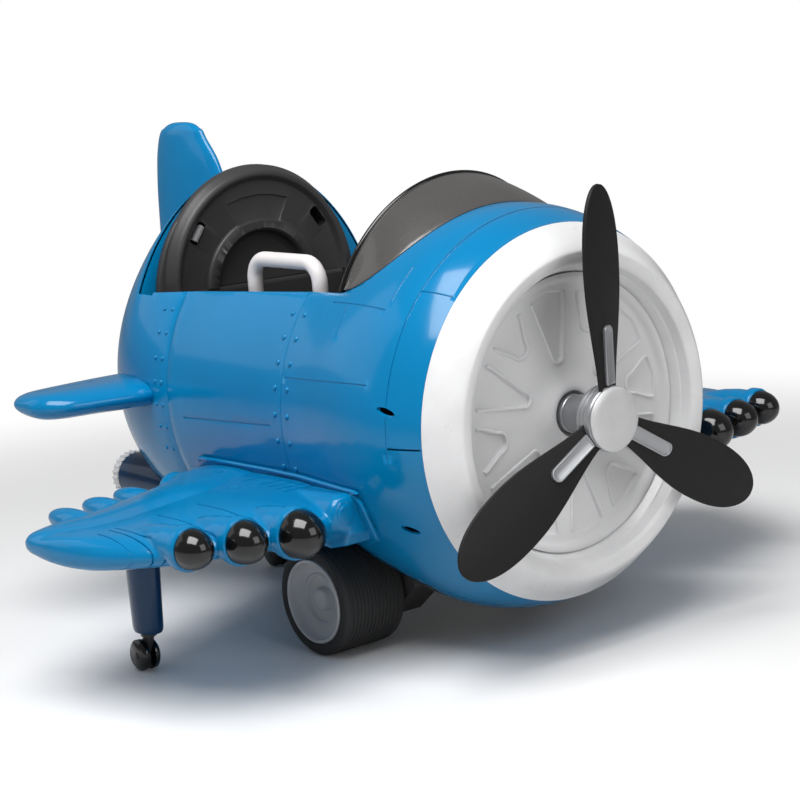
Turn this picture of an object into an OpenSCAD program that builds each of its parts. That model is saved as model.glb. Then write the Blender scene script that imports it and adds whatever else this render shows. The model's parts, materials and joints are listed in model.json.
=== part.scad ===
// Battery ride-on toy airplane with a barrel fuselage and a large ring cowl.
// +X points to the nose, +Y to the rider's left and +Z up, and z = 0 is the floor.
// The origin lies on the floor under the middle of the overall box.

/* [Fuselage] */
// Distance from the middle of the toy to the front edge of the blue shell
nose_x = 400; // [380:1:430]
// Distance from the middle of the toy back to the tip of the tail
tail_x = 485; // [460:1:520]
// Height of the barrel's centre line over the floor
axis_z = 296.5; // [292:0.5:304]
// Radius of the plain part of the barrel
barrel_r = 233; // [228:1:240]
// How far the shell swells out behind the nose
bulge = 21; // [10:1:26]
// Radius of the shell's front edge
lip_r = 232; // [228:1:242]
// Wall of the moulded shells
shell_t = 4; // [2.5:0.5:5]
// Place of the seam between the nose shell and the middle shell
front_seam_x = 127; // [110:1:140]
// Place of the seam between the middle shell and the tail shell
rear_seam_x = -135; // [-150:1:-120]

/* [Cockpit] */
// Radius of the arches of the seat back and the windshield
arch_r = 183; // [176:1:188]
// Height of the arches' centre
arch_z = 406; // [400:1:412]
// Place of the seat back's arch
seat_x = -240; // [-250:1:-230]
// Place of the foot of the windshield's rim
rim_x = 188; // [180:1:196]
// Forward lean of the windshield's rim
rim_lean = 10; // [4:1:14]
// Height of the cockpit's sill at the seat
sill_rear_z = 432; // [428:1:440]
// Height of the cockpit's sill at the windshield
sill_front_z = 455; // [450:1:462]
// Place of the front edge of the cockpit's opening
brow_x = 300; // [290:1:310]
// Wall of the black mouldings
liner_t = 4; // [2.5:0.5:5]
// Length of the grab handles
handle_len = 162; // [120:1:170]
// Height of the grab handles over the sill ledge
handle_h = 70; // [50:1:75]
// Diameter of the grab handles' tube
handle_d = 20; // [16:1:24]

/* [Cowl and propeller] */
// Depth of the white ring in front of the blue shell
ring_depth = 37; // [30:1:50]
// Radius of the ring's opening
opening_r = 172; // [166:1:186]
// Radius to the tips of the blades
prop_r = 280; // [260:1:284]
// Place of the blades
prop_x = 471; // [468:1:476]
// Widest part of a blade
blade_w = 80; // [70:1:100]
// Thickness of a blade
blade_t = 5; // [3:0.5:7]
// Pitch of a blade
blade_pitch = 16; // [8:1:20]
// Radius of the hub's cap
cap_r = 40; // [36:1:44]

/* [Wings] */
// Half of the wing span
half_span = 560; // [545:1:600]
// Thickness of the wing at its root
root_t = 62; // [56:1:70]
// Distance of the outer pods from the middle
pod_outer_y = 480; // [474:1:486]
// Distance of the middle pods from the middle
pod_middle_y = 417; // [412:1:422]
// Distance of the inner pods from the middle
pod_inner_y = 348; // [344:1:352]
// Radius of the outer pods
pod_outer_r = 24; // [20:0.5:25]
// Radius of the middle pods
pod_middle_r = 26; // [22:0.5:27]
// Radius of the inner pods
pod_inner_r = 29; // [25:0.5:30]

/* [Tail] */
// Height of the top of the fin
fin_top_z = 653; // [630:1:680]
// Thickness of the fin at its foot
fin_t = 34; // [26:1:40]
// Half of the span of the stabilisers
stab_span = 393; // [350:1:400]
// Thickness of the stabilisers
stab_t = 38; // [30:1:42]
// Radius of the tail nozzles
nozzle_r = 33; // [28:1:36]

/* [Running gear] */
// Radius of the drive wheels
wheel_r = 70; // [66:1:74]
// Width of the drive wheels
wheel_w = 95; // [80:1:98]
// Distance between the outer faces of the drive wheels
track = 470; // [460:1:480]
// Place of the drive axle
wheel_x = 166; // [160:1:172]
// Diameter of the steel axle
axle_d = 10; // [8:1:12]
// Radius of the small wheels under the wings and the tail
wing_wheel_r = 20; // [18:1:22]
// Distance of the wing legs from the middle
leg_y = 408; // [402:1:414]
// Place of the wing legs along the toy
leg_x = 52; // [44:1:58]

/* [Fits] */
// Running clearance of a wheel on its pin
run_fit = 0.1; // [0.05:0.01:0.2]
// Clearance between mouldings of the body that meet
seat_gap = 0.3; // [0.2:0.05:0.5]

/* [Hidden] */
$fn = 64;

blue = "#0b78b8";
dark_blue = "#0a4f7c";
white = "#eeeeee";
pale_grey = "#c9c9c9";
black = "#222222";
silver = "#a9adb1";

// Steps of curved outlines and of lofted skins
curve_steps = 10;
loft_sides = 40;
nose_share = 0.3;
grid = 20;

// Shape of the barrel: the swelling's place and how long it takes to rise
bulge_x = nose_x - 90;
bulge_run = 210;

// Shape of the tail cone: where sides and deck start to close, and how roundly
cone_x = -165;
deck_x = seat_x;
deck_h = arch_z + arch_r - axis_z;
side_power = 2.24;
deck_power = 1.15;
keel_power = 2.6;
tip_power = 1.3;

// Path of the cockpit's edge from the sill up to the brow, as Bezier points in X and Z
edge_points = [
    [rim_x + 2, sill_front_z], [rim_x + 57, sill_front_z + 2],
    [brow_x, sill_front_z + 50], [brow_x + 2, axis_z + barrel_r + bulge + 10]
];

// Opening under the belly, filled by the belly pan
belly_rear_x = -60;
belly_front_x = 312;
belly_h = 64.5;
belly_z = axis_z - barrel_r + belly_h;
arch_gap = 10;

// Gap between the brow's edge and the windshield, measured along the toy
glass_gap = 1.2;
bead_r = 4;

// Controls in the dashboard
button_d = 18;
button_fit = 0.3;
button_y = 30;
button_z = arch_z + 40;
switch_w = 15;
switch_pin_d = 2.4;
switch_tilt = 8;
switch_z = arch_z + 75;
speaker_d = 44;
speaker_z = arch_z - 16;

// Dashboard, seat and tub
dash_x = 240;
dash_t = 6;
dash_r = arch_r - 21;
tub_front_x = 300;
tub_rear_x = seat_x + 16;
tub_floor_z = belly_z + liner_t + seat_gap;
tub_mid_z = 250;
ledge_z = sill_rear_z - 6;
sill_clear = 24.87;
tub_half_top = sqrt(pow(barrel_r - shell_t, 2) - pow(ledge_z - axis_z, 2)) - sill_clear;
tub_half_mid = tub_half_top + 4;
tub_half_floor = tub_half_top - 56;
ledge_w = 40;
ledge_t = 6;
ledge_rear_x = -60;
ledge_front_x = 140;
console_z = 330;
joystick_x = 60;
joystick_h = 82;
joystick_y = tub_half_top - ledge_w / 2;
seat_top_z = 250;
seat_front_x = -14;
back_r = arch_r - 11;
back_z = arch_z + 8;
back_t = 24;
back_plate_t = 8;
ridge_r = 148;
ridge_z = arch_z + 26;
pad_r = 98;
pad_w = 20;
pad_z = arch_z + 14;
belt_slot_w = 15;
belt_slot_len = 34;
belt_slot_r = ridge_r - 27;
belt_angle = 55;
battery_x = -190;
battery_len = 150;
battery_w = 100;
battery_h = 88;
control_len = 90;
control_w = 40;
handle_x = 51;
handle_y = tub_half_top - 10;
ledge_in_y = handle_y - 10;
foot_wall_z = console_z + 20;
foot_pad_x = 6;
foot_pad_len = 280;
foot_pad_w = 184;
foot_pad_t = 1.7;

// Running gear
wheel_z = wheel_r;
wheel_mid_y = track / 2 - wheel_w / 2;
hub_r = wheel_r - 10;
gear_in_y = 86;
gear_out_y = track / 2 - wheel_w - 3;
motor_d = 36;
motor_x = wheel_x + 58;
motor_z = wheel_z + 34;
stem_d = 12;
web_t = 6;
disc_w = 9;
pin_d = 6;
rear_caster_x = -230;
trail = 13;
stem_rise = 24;
leg_foot_z = 52;
leg_top_z = 192;
wing_z = 196;
hump_r = 17;
hump_run = 46;
fairing_y = 258;
fairing_z = 184;
fairing_r = 24;
fairing_len = 395;
fairing_rise = 3;
flange_z = 229;

// Propeller
blades = 3;
hub_x = nose_x + 2;
hub_tube_r = 24;
collar_r = cap_r;
collar_x = prop_x - 16;
cap_back = prop_x + 8;
shaft_d = 8;
prop_motor_d = 56;
prop_motor_len = 62;
face_t = 4;
boss_r = 46;
cone_run = 11;
crown_w = 16;
brace_len = 71;
brace_w = 18;
root_share = 0.42;

// Nozzles under the tail
nozzle_off = barrel_r - 23.3;
nozzle_turn = 44.3;
nozzle_y = nozzle_off * cos(nozzle_turn);
nozzle_z = axis_z - nozzle_off * sin(nozzle_turn);
nozzle_end_x = -385;
nozzle_len = 150;
nozzle_lip = 16;

// Half width of the barrel at a place along it
function half_width(x) =
    x > bulge_x ? barrel_r + bulge - (barrel_r + bulge - lip_r) * pow((x - bulge_x) / (nose_x - bulge_x), 2)
    : x > bulge_x - bulge_run ? barrel_r + bulge * pow(cos(90 * (bulge_x - x) / bulge_run), 2)
    : x > cone_x ? barrel_r
    : barrel_r * closing(x, cone_x, side_power);

// Share that is left of a size as the tail cone closes from x0 to its tip
function closing(x, x0, power) =
    pow(max(0, 1 - pow(max(0, (x0 - x) / (x0 + tail_x)), power)), 1 / tip_power);

// Height of the deck over the centre line, and depth of the keel under it
function deck_height(x) =
    x > deck_x ? barrel_r + (deck_h - barrel_r) * smooth((cone_x + 60 - x) / (cone_x + 60 - deck_x))
    : deck_h * closing(x, deck_x, deck_power);
function keel_depth(x) = x > cone_x ? barrel_r : barrel_r * closing(x, cone_x, keel_power);
function smooth(u) = let (v = min(1, max(0, u))) v * v * (3 - 2 * v);

// A point on a cubic Bezier curve
function bezier(p, t) =
    pow(1 - t, 3) * p[0] + 3 * pow(1 - t, 2) * t * p[1] + 3 * (1 - t) * t * t * p[2] + pow(t, 3) * p[3];

// Ring of points round the tail at a place along it, drawn in by a wall
function tail_ring(x, wall) = [
    for (i = [0:loft_sides - 1])
        let (a = 360 * i / loft_sides, up = sin(a) > 0 ? deck_height(x) : keel_depth(x))
        [x, max(0.5, half_width(x) - wall) * cos(a), axis_z + max(0.5, up - wall) * sin(a)]
];

// Ring of points round a lifting surface, thickest near its front edge
function foil_ring(span, front, back, mid, thick, sides = 24) = [
    for (i = [0:sides - 1])
        let (a = 360 * i / sides, c = cos(a), s = sin(a), run = nose_share * (front - back))
        [
            front - run + (c > 0 ? run : front - back - run) * sign(c) * pow(abs(c), 0.9),
            span,
            mid + thick / 2 * sign(s) * pow(abs(s), 0.85)
        ]
];

// Closed skin through rings of points that all have the same number of points
module skin(rings) {
    n = len(rings[0]);
    count = len(rings);
    points = [for (ring = rings) each ring];
    sides = [
        for (k = [0:count - 2], i = [0:n - 1])
            [k * n + i, k * n + (i + 1) % n, (k + 1) * n + (i + 1) % n, (k + 1) * n + i]
    ];
    first = [for (i = [n - 1:-1:0]) i];
    last = [for (i = [0:n - 1]) (count - 1) * n + i];
    polyhedron(points, concat([first], sides, [last]), convexity = 6);
}

// Turns a shape's Z axis into the toy's X axis and lifts it to the centre line
module along_nose() {
    translate([0, 0, axis_z]) rotate([0, 90, 0]) children();
}

// The same shape on the other side of the toy
module other_side() {
    mirror([0, 1, 0]) children();
}

// Stations between two places along the toy, on one grid so that all shells share their facets
function stations(x0, x1) = concat(
    [x0],
    [for (x = [ceil(x0 / grid + 0.01) * grid:grid:x1 - 0.01]) x],
    [x1]
);

// Solid barrel between two places, drawn in by a wall
module barrel(x0, x1, wall) {
    xs = stations(x0, x1);
    along_nose()
        rotate_extrude($fn = 96)
            polygon(concat([[0, x0]], [for (x = xs) [half_width(x) - wall, x]], [[0, x1]]));
}

// Solid tail cone, drawn in by a wall
module tail_cone(x0, wall) {
    tip = -tail_x + wall + 1;
    rise = 14;
    skin([for (i = [rise:-1:0]) tail_ring(tip + (x0 - tip) * pow(i / rise, 1.3), wall)]);
}

// Everything above the cockpit's edge
module cockpit_cut(back_x) {
    path = [for (i = [0:curve_steps]) bezier(edge_points, i / curve_steps)];
    top = axis_z + barrel_r * 2;
    rotate([90, 0, 0])
        linear_extrude(2 * barrel_r + 100, center = true)
            polygon(concat(
                [[back_x, sill_rear_z]], path, [[brow_x + 2, top], [back_x, top]]
            ));
}

// Everything under the edge of the belly opening, drawn in by a gap
module belly_cut(gap) {
    rotate([90, 0, 0])
        linear_extrude(2 * barrel_r + 100, center = true)
            polygon([
                [belly_rear_x + gap, -10], [belly_rear_x + gap, belly_z - gap],
                [wheel_x + 20, belly_z - gap], [wheel_x + 80, belly_z - 8 - gap],
                [belly_front_x - 8 - gap, belly_z - 32 - gap], [belly_front_x - gap, -10]
            ]);
}

// Room that a turning drive wheel needs, on both sides and open outwards
module wheel_room() {
    inner = wheel_mid_y - wheel_w / 2 - 6;
    for (side = [-1, 1])
        translate([wheel_x, side * inner, wheel_z])
            rotate([-90 * side, 0, 0]) cylinder(r = wheel_r + arch_gap, h = barrel_r + bulge);
}

// Front shell of the body, open at the front, with the brow of the cockpit
module nose_shell() {
    color(blue) difference() {
        barrel(front_seam_x, nose_x, 0);
        barrel(front_seam_x - 1, nose_x + 1, shell_t);
        cockpit_cut(seat_x);
        belly_cut(0);
        wheel_room();
    }
}

// Middle shell of the body, from the seam behind the cowl to the seam at the seat
module middle_shell() {
    color(blue) difference() {
        barrel(rear_seam_x + seat_gap, front_seam_x - seat_gap, 0);
        barrel(rear_seam_x - 1, front_seam_x + 1, shell_t);
        cockpit_cut(seat_x - 50);
        belly_cut(0);
        wheel_room();
    }
}

// Tail shell with a bulkhead and the arch behind the seat
module tail_shell() {
    bulkhead = 2 * shell_t;
    color(blue) difference() {
        tail_cone(rear_seam_x, 0);
        difference() {
            tail_cone(rear_seam_x + 1, shell_t);
            translate([seat_x - bulkhead, -barrel_r, sill_rear_z - 40])
                cube([bulkhead, 2 * barrel_r, 2 * barrel_r]);
            caster_boss(rear_caster_x);
        }
        translate([seat_x - 20, 0, arch_z]) rotate([0, 90, 0]) cylinder(r = arch_r - 12, h = 30);
        translate([seat_x, -barrel_r, sill_rear_z]) cube([barrel_r, 2 * barrel_r, 2 * barrel_r]);
        caster_socket(rear_caster_x);
    }
}

// Boss inside the shell that holds a belly caster's stem, and the bore in it
module caster_boss(x) {
    translate([x, 0, 0]) cylinder(d = stem_d + 12, h = shell_bottom(x) + stem_rise + 6);
}

module caster_socket(x) {
    translate([x, 0, -1]) cylinder(d = stem_d + 2 * run_fit, h = shell_bottom(x) + stem_rise + 2);
}

// Black pan that closes the belly, with the keel that holds the axle and the drive
module belly_pan() {
    keel_y = gear_in_y - 2;
    wall = shell_t + seat_gap;
    color(black) difference() {
        union() {
            intersection() {
                difference() {
                    barrel(belly_rear_x, belly_front_x, seat_gap);
                    barrel(belly_rear_x - 1, belly_front_x + 1, wall + shell_t);
                }
                belly_cut(seat_gap);
            }
            intersection() {
                barrel(belly_rear_x, belly_front_x, seat_gap);
                belly_cut(seat_gap);
                translate([belly_rear_x, -keel_y, 0])
                    cube([belly_front_x - belly_rear_x, 2 * keel_y, belly_z]);
            }
            translate([wheel_x - 26, -keel_y, wheel_z - 18]) cube([52, 2 * keel_y, 40]);
        }
        translate([belly_rear_x + 8, -keel_y + 6, wheel_z + 8])
            cube([belly_front_x - belly_rear_x - 34, 2 * keel_y - 12, 200]);
        for (side = [-1, 1])
            translate([wheel_x - wheel_r - 16, side > 0 ? gear_in_y : -300, 0])
                cube([2 * wheel_r + 50, 300 - gear_in_y, 200]);
        translate([wheel_x, 0, wheel_z])
            rotate([90, 0, 0]) cylinder(d = axle_d + 2 * run_fit, h = track, center = true);
        drive_motor_room();
    }
}

// Room for the drive motors in the walls of the keel
module drive_motor_room() {
    translate([motor_x, 0, motor_z])
        rotate([90, 0, 0]) cylinder(d = motor_d + 2 * run_fit, h = 2 * gear_in_y + 2, center = true);
}

// White ring in front of the shell: a channel, open behind, with a broad conical face and inner wall
module cowl_ring() {
    front = nose_x + ring_depth;
    edge_r = opening_r + cone_run;
    crown_r = edge_r + crown_w;
    face_path = [
        [lip_r, nose_x + seat_gap], [lip_r - 8, nose_x + 8], [crown_r + 10, front - 4], [crown_r, front]
    ];
    outer = [for (i = [0:curve_steps]) bezier(face_path, i / curve_steps)];
    inner_lip = [
        for (i = [1:curve_steps])
            let (a = 90 + 90 * i / curve_steps)
            [crown_r + crown_w * cos(a), front - 6 + 6 * sin(a)]
    ];
    hollow = [
        [edge_r + shell_t, front - 6 - shell_t], [crown_r, front - 2 * shell_t],
        [lip_r - 3 * shell_t, nose_x + 8], [lip_r - 2 * shell_t, nose_x + seat_gap]
    ];
    color(white) along_nose()
        rotate_extrude($fn = 96)
            polygon(concat(
                outer, inner_lip, [[opening_r, nose_x + 2], [opening_r, nose_x + seat_gap]],
                [[opening_r + shell_t, nose_x + seat_gap]], hollow
            ));
}

// Dished plate behind the propeller, with pressed pockets that stand like engine cylinders
module engine_face() {
    long_pocket = 66;
    short_pocket = 104;
    bead = 2.5;
    rim = opening_r - seat_gap;
    plate = hub_x - 2;
    color(pale_grey) difference() {
        union() {
            along_nose() rotate_extrude($fn = 96)
                polygon([
                    [hub_tube_r - 10, plate - face_t], [rim, plate - face_t], [rim, plate + 8],
                    [rim - 7, plate + 8], [rim - 13, plate], [boss_r + 14, plate], [boss_r, plate + 3],
                    [boss_r - 12, plate + 10], [hub_tube_r + 4, plate + 11], [hub_tube_r + 4, plate],
                    [hub_tube_r - 10, plate]
                ]);
            for (i = [0:11])
                pocket_place(i, plate - 1) linear_extrude(2.5) offset(r = bead, $fn = 24)
                    pocket_outline(i % 2 == 0 ? long_pocket : short_pocket, rim - 20);
        }
        for (i = [0:11])
            pocket_place(i, plate - 1.5) linear_extrude(20)
                pocket_outline(i % 2 == 0 ? long_pocket : short_pocket, rim - 20);
    }
}

// Place of a pocket in the engine face, at a height over the middle of the toy
module pocket_place(i, x) {
    along_nose() rotate([0, 0, 30 * i + 9]) translate([0, 0, x]) children();
}

// Outline of one pocket in the engine face, rounded towards the hub
module pocket_outline(near, far) {
    nose = near * 0.11;
    spread = far * 0.17;
    union() {
        translate([near + nose, 0]) circle(r = nose, $fn = 24);
        polygon([[near + nose, -nose], [far - 6, -spread], [far, 0], [far - 6, spread], [near + nose, nose]]);
    }
}

// Edge of the brow at an angle round the barrel: the curve's value where it crosses a skin of the shell
function edge_at(angle, inset, low = 0, high = 1, left = 14) =
    let (mid = (low + high) / 2, p = bezier(edge_points, mid))
    left == 0 ? p
    : p[1] > axis_z + (half_width(p[0]) - inset) * sin(angle) ? edge_at(angle, inset, low, mid, left - 1)
    : edge_at(angle, inset, mid, high, left - 1);

// Point on the windshield between the brow, at share 0, and its rim, at share 1
function glass_point(angle, share, inset) =
    let (
        edge = edge_at(angle > 90 ? 180 - angle : angle, inset),
        edge_y = (half_width(edge[0]) - inset) * cos(angle),
        polar = atan2(edge[1] - arch_z, edge_y),
        edge_r = norm([edge_y, edge[1] - arch_z]),
        front = edge[0] - glass_gap,
        x = front + (rim_x + sin(rim_lean) * (arch_r - inset) * sin(polar) - front) * share,
        r = edge_r + (arch_r - inset - edge_r) * share,
        up = r * sin(polar) * (1 - share * (1 - cos(rim_lean)))
    )
    [x, r * cos(polar), arch_z + up + glass_gap / 2 * (1 - share)];

// Dark windshield: a hood that sweeps back and up from the brow to its rim
module windshield() {
    first = asin((edge_points[0][1] - axis_z) / half_width(edge_points[0][0])) + 1;
    spans = 20;
    shares = [0, 0.35, 0.7, 1];
    color("#3c3c3e") skin([
        for (i = [0:spans])
            let (angle = first + (180 - 2 * first) * i / spans)
            concat(
                [for (s = shares) glass_point(angle, s, seat_gap)],
                [for (k = [3:-1:0]) glass_point(angle, shares[k], liner_t)]
            )
    ]);
}

// Bead round the windshield's rim
module windshield_rim() {
    color(black) translate([rim_x, 0, arch_z]) rotate([0, rim_lean, 0])
        rotate([90, 0, 90]) rotate([0, 0, 16])
            rotate_extrude(angle = 148, $fn = 96)
                translate([arch_r - bead_r / 2, -bead_r - seat_gap]) circle(r = bead_r, $fn = 24);
}

// Panel in front of the rider, under the windshield, standing on the walls of the foot well
module dashboard() {
    low = foot_wall_z + seat_gap;
    color(black) difference() {
        union() {
            intersection() {
                translate([dash_x, 0, arch_z]) rotate([0, 90, 0]) cylinder(r = dash_r, h = dash_t);
                translate([dash_x, -dash_r, arch_z]) cube([dash_t, 2 * dash_r, dash_r]);
            }
            translate([dash_x, -dash_r, low]) cube([dash_t, 2 * dash_r, arch_z - low]);
        }
        for (y = [-button_y, button_y])
            translate([dash_x - 1, y, button_z])
                rotate([0, 90, 0]) cylinder(d = button_d + 2 * button_fit, h = dash_t + 2);
        translate([dash_x - 1, -switch_w / 2 - 0.5, switch_z - 13]) cube([dash_t + 2, switch_w + 1, 26]);
        translate([dash_x + dash_t / 2, 0, switch_z])
            rotate([90, 0, 0]) cylinder(d = switch_pin_d + 2 * run_fit, h = switch_w + 8, center = true);
        translate([dash_x - 1, 0, speaker_z]) rotate([0, 90, 0]) cylinder(d = speaker_d, h = dash_t + 2);
    }
}

// Section of the tub, drawn in by a wall at its sides, between two heights
module tub_section(wall, low, top) {
    half_low = tub_half_floor - wall;
    half_mid = tub_half_mid - wall;
    half_top = tub_half_top - wall;
    polygon([
        [half_low, low], [half_mid, min(tub_mid_z, top)], [half_top, top],
        [-half_top, top], [-half_mid, min(tub_mid_z, top)], [-half_low, low]
    ]);
}

// Prism with a section in Y and Z, between two places along the toy
module prism(x0, x1) {
    translate([x0, 0, 0]) rotate([90, 0, 90]) linear_extrude(x1 - x0) children();
}

// Black liner of the cockpit: floor with a foot pad, sides, consoles and the ledge under the sill
module cockpit_tub() {
    floor_low = tub_floor_z - liner_t;
    color(black) difference() {
        union() {
            prism(tub_rear_x, tub_front_x) tub_section(0, floor_low, foot_wall_z);
            prism(tub_rear_x, rim_x) tub_section(0, floor_low, ledge_z - ledge_t);
            translate([tub_rear_x, -tub_half_top - 8, ledge_z - ledge_t])
                cube([rim_x - tub_rear_x, 2 * tub_half_top + 16, ledge_t]);
        }
        difference() {
            prism(tub_rear_x + liner_t, tub_front_x - liner_t)
                tub_section(liner_t, tub_floor_z, ledge_z - ledge_t);
            for (side = [-1, 1])
                translate([ledge_rear_x, side > 0 ? tub_half_top - ledge_w : -tub_half_top, console_z - 30])
                    cube([ledge_front_x - ledge_rear_x, ledge_w, 30]);
            translate([foot_pad_x, -foot_pad_w / 2, tub_floor_z - 1])
                cube([foot_pad_len, foot_pad_w, 1 + foot_pad_t]);
        }
        translate([tub_rear_x + liner_t, -ledge_in_y, ledge_z - ledge_t - 1])
            cube([rim_x - tub_rear_x - 2 * liner_t, 2 * ledge_in_y, 20]);
        for (side = [-1, 1], end = [-1, 1])
            translate([handle_x + end * (handle_len - handle_d) / 2, side * handle_y, ledge_z - 20])
                cylinder(d = 4.4, h = 30, $fn = 24);
        for (side = [-1, 1]) {
            translate([joystick_x, side * joystick_y, console_z - 20]) rotate([90, 0, 0]) {
                cylinder(r = 13, h = 22, center = true);
                cylinder(d = pin_d + 2 * run_fit, h = 29, center = true);
            }
            translate([joystick_x - 13, side * joystick_y - 11, console_z - 20]) cube([26, 22, 30]);
        }
    }
}

// Moulded back of the seat: an arch with a ridge, a raised ring and two belt slots
module seat_back() {
    foot = 20;
    foot_z = seat_top_z - foot;
    face = back_t - 6;
    color(black) union() {
        difference() {
            translate([seat_x + seat_gap, 0, 0]) rotate([0, 90, 0]) {
                translate([-back_z, 0, 0]) cylinder(r = back_r, h = back_plate_t, $fn = 96);
                translate([-ridge_z, 0, 0]) rotate_extrude($fn = 96) polygon([
                    [0, 0], [ridge_r + 12, 0], [ridge_r + 12, back_plate_t], [ridge_r + 3, back_t - 2],
                    [ridge_r, back_t], [ridge_r - 5, back_t], [ridge_r - 10, face], [0, face]
                ]);
                translate([-pad_z, 0, 0]) cylinder(r = pad_r, h = back_t, $fn = 96);
            }
            translate([seat_x + seat_gap + face / 2, 0, pad_z]) rotate([0, 90, 0])
                cylinder(r = pad_r - pad_w, h = back_t, $fn = 96);
            translate([seat_x - 50, -300, 0]) cube([100, 600, ledge_z + seat_gap]);
            for (side = [-1, 1]) belt_slot(side, 0) cube([2 * back_t, belt_slot_len, belt_slot_w]);
        }
        translate([seat_x + seat_gap, 6 - tub_half_top, foot_z])
            cube([back_plate_t, 2 * tub_half_top - 12, ledge_z - foot_z + 10]);
    }
}

// Place of a belt slot's inner corner, a fit inside it
module belt_slot(side, fit) {
    translate([seat_x + seat_gap - 1, 0, ridge_z]) rotate([-side * belt_angle, 0, 0])
        translate([0, fit - belt_slot_len / 2, belt_slot_r + fit]) children();
}

// Seat base: a hollow box, open below, with a dished top
module seat_base() {
    wall = liner_t + seat_gap;
    rear = tub_rear_x + wall + 8;
    dish_r = 300;
    color(black) difference() {
        prism(rear, seat_front_x) tub_section(wall, tub_floor_z, seat_top_z);
        prism(rear + liner_t, seat_front_x - liner_t)
            tub_section(wall + liner_t, tub_floor_z - 1, seat_top_z - liner_t - 12);
        translate([(tub_rear_x + seat_front_x) / 2, 0, seat_top_z + dish_r - 12])
            rotate([0, 90, 0]) cylinder(r = dish_r, h = 160, center = true, $fn = 96);
    }
}

// Short grey harness strap that comes out of the right slot of the seat back
module harness_strap() {
    color(silver) belt_slot(-1, seat_gap)
        translate([4, 0, 0]) cube([back_t - 4, belt_slot_len - 2 * seat_gap, belt_slot_w - 2 * seat_gap]);
}

// White grab handle of a side, bent from round tube
module grab_handle(side) {
    r = handle_d / 2;
    bend = 26;
    half = handle_len / 2 - r;
    rise = handle_h - r;
    color(white) translate([handle_x, side * handle_y, ledge_z]) difference() {
        union() {
            for (end = [-1, 1]) {
                translate([end * half, 0, 0]) cylinder(r = r, h = rise - bend);
                translate([end * (half - bend), 0, rise - bend])
                    rotate([90, 0, end > 0 ? 0 : 180])
                        rotate_extrude(angle = 90) translate([bend, 0]) circle(r = r);
            }
            translate([-half + bend, 0, rise]) rotate([0, 90, 0]) cylinder(r = r, h = 2 * (half - bend));
        }
        for (end = [-1, 1])
            translate([end * half, 0, -1]) cylinder(d = 4.2, h = 15, $fn = 24);
    }
}

module grab_handle_right() { grab_handle(-1); }
module grab_handle_left() { grab_handle(1); }

// Screws that come up through the ledge into the handles
module handle_screws() {
    half = (handle_len - handle_d) / 2;
    color(silver) for (side = [-1, 1], end = [-1, 1])
        translate([handle_x + end * half, side * handle_y, ledge_z - ledge_t - seat_gap]) {
            translate([0, 0, -3]) cylinder(d = 8, h = 3, $fn = 24);
            cylinder(d = 4, h = 18, $fn = 24);
        }
}

// Joystick of a side: a round foot on a pin, a stem and a knob
module joystick(side) {
    color(black) translate([joystick_x, side * joystick_y, console_z - 20]) {
        rotate([90, 0, 0]) {
            cylinder(r = 12, h = 21, center = true);
            cylinder(d = pin_d, h = 28, center = true);
        }
        cylinder(r = 6, h = joystick_h - 20);
        translate([0, 0, joystick_h - 22]) cylinder(r1 = 9, r2 = 13, h = 22);
        translate([0, 0, joystick_h]) rotate_extrude()
            polygon([[0, 0], [13, 0], [12, 5], [9, 9], [5, 11], [0, 12]]);
    }
}

module joystick_right() { joystick(-1); }
module joystick_left() { joystick(1); }

// Push button in the dashboard, with a flange that rests behind the panel
module push_button(y) {
    translate([dash_x, y, button_z]) rotate([0, 90, 0]) {
        translate([0, 0, -5]) cylinder(d = button_d, h = 5 + dash_t + seat_gap);
        translate([0, 0, dash_t + seat_gap]) cylinder(d = button_d + 5, h = 2);
    }
}

module start_button() { color("#3fa24a") push_button(-button_y); }
module horn_button() { color("#b8322c") push_button(button_y); }

// Rocker switch in the dashboard, tipped to one side, with a pin across it that turns in the panel
module light_switch() {
    color("#b8322c") translate([dash_x + dash_t / 2, 0, switch_z])
        rotate([0, switch_tilt, 0]) rotate([90, 0, 0]) {
            linear_extrude(switch_w, center = true)
                polygon([[-8, 11], [-5, 0], [-8, -11], [2, -11.5], [4, 0], [2, 11.5]]);
            cylinder(d = switch_pin_d, h = switch_w + 7, center = true);
        }
}

// Motor that turns the propeller, screwed behind the engine face
module propeller_motor() {
    color(silver) along_nose() difference() {
        translate([0, 0, hub_x - face_t - 2 - seat_gap - prop_motor_len])
            cylinder(d = prop_motor_d, h = prop_motor_len);
        translate([0, 0, hub_x - face_t - 34]) cylinder(d = shaft_d + 2 * run_fit, h = 40);
    }
}

// Steel shaft from the motor to the hub
module motor_shaft() {
    start = hub_x - face_t - 30;
    color(silver) along_nose() translate([0, 0, start])
        cylinder(d = shaft_d, h = collar_x - seat_gap - start);
}

// Hub barrel between the engine face and the blades
module hub_barrel() {
    start = hub_x + 2;
    color(silver) along_nose() difference() {
        translate([0, 0, start]) cylinder(r = hub_tube_r, h = collar_x - seat_gap - start);
        translate([0, 0, start - 1]) cylinder(d = shaft_d + 2 * run_fit, h = 60);
    }
}

// Grooved collar that holds the blades' roots
module hub_collar() {
    groove = 1.5;
    len = cap_back - collar_x - seat_gap;
    color(silver) difference() {
        along_nose() translate([0, 0, collar_x]) rotate_extrude()
            polygon([
                [0, 0], [collar_r - 2, 0], [collar_r, 2], [collar_r, 5], [collar_r - groove, 5.5],
                [collar_r - groove, 7.5], [collar_r, 8], [collar_r, 11], [collar_r - groove, 11.5],
                [collar_r - groove, 13.5], [collar_r, 14], [collar_r, len], [0, len]
            ]);
        for (i = [0:blades - 1])
            blade_place(i) translate([0, 0, 40])
                cube([blade_t + 2 * seat_gap, (root_share + 0.04) * blade_w, 40], center = true);
    }
}

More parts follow.
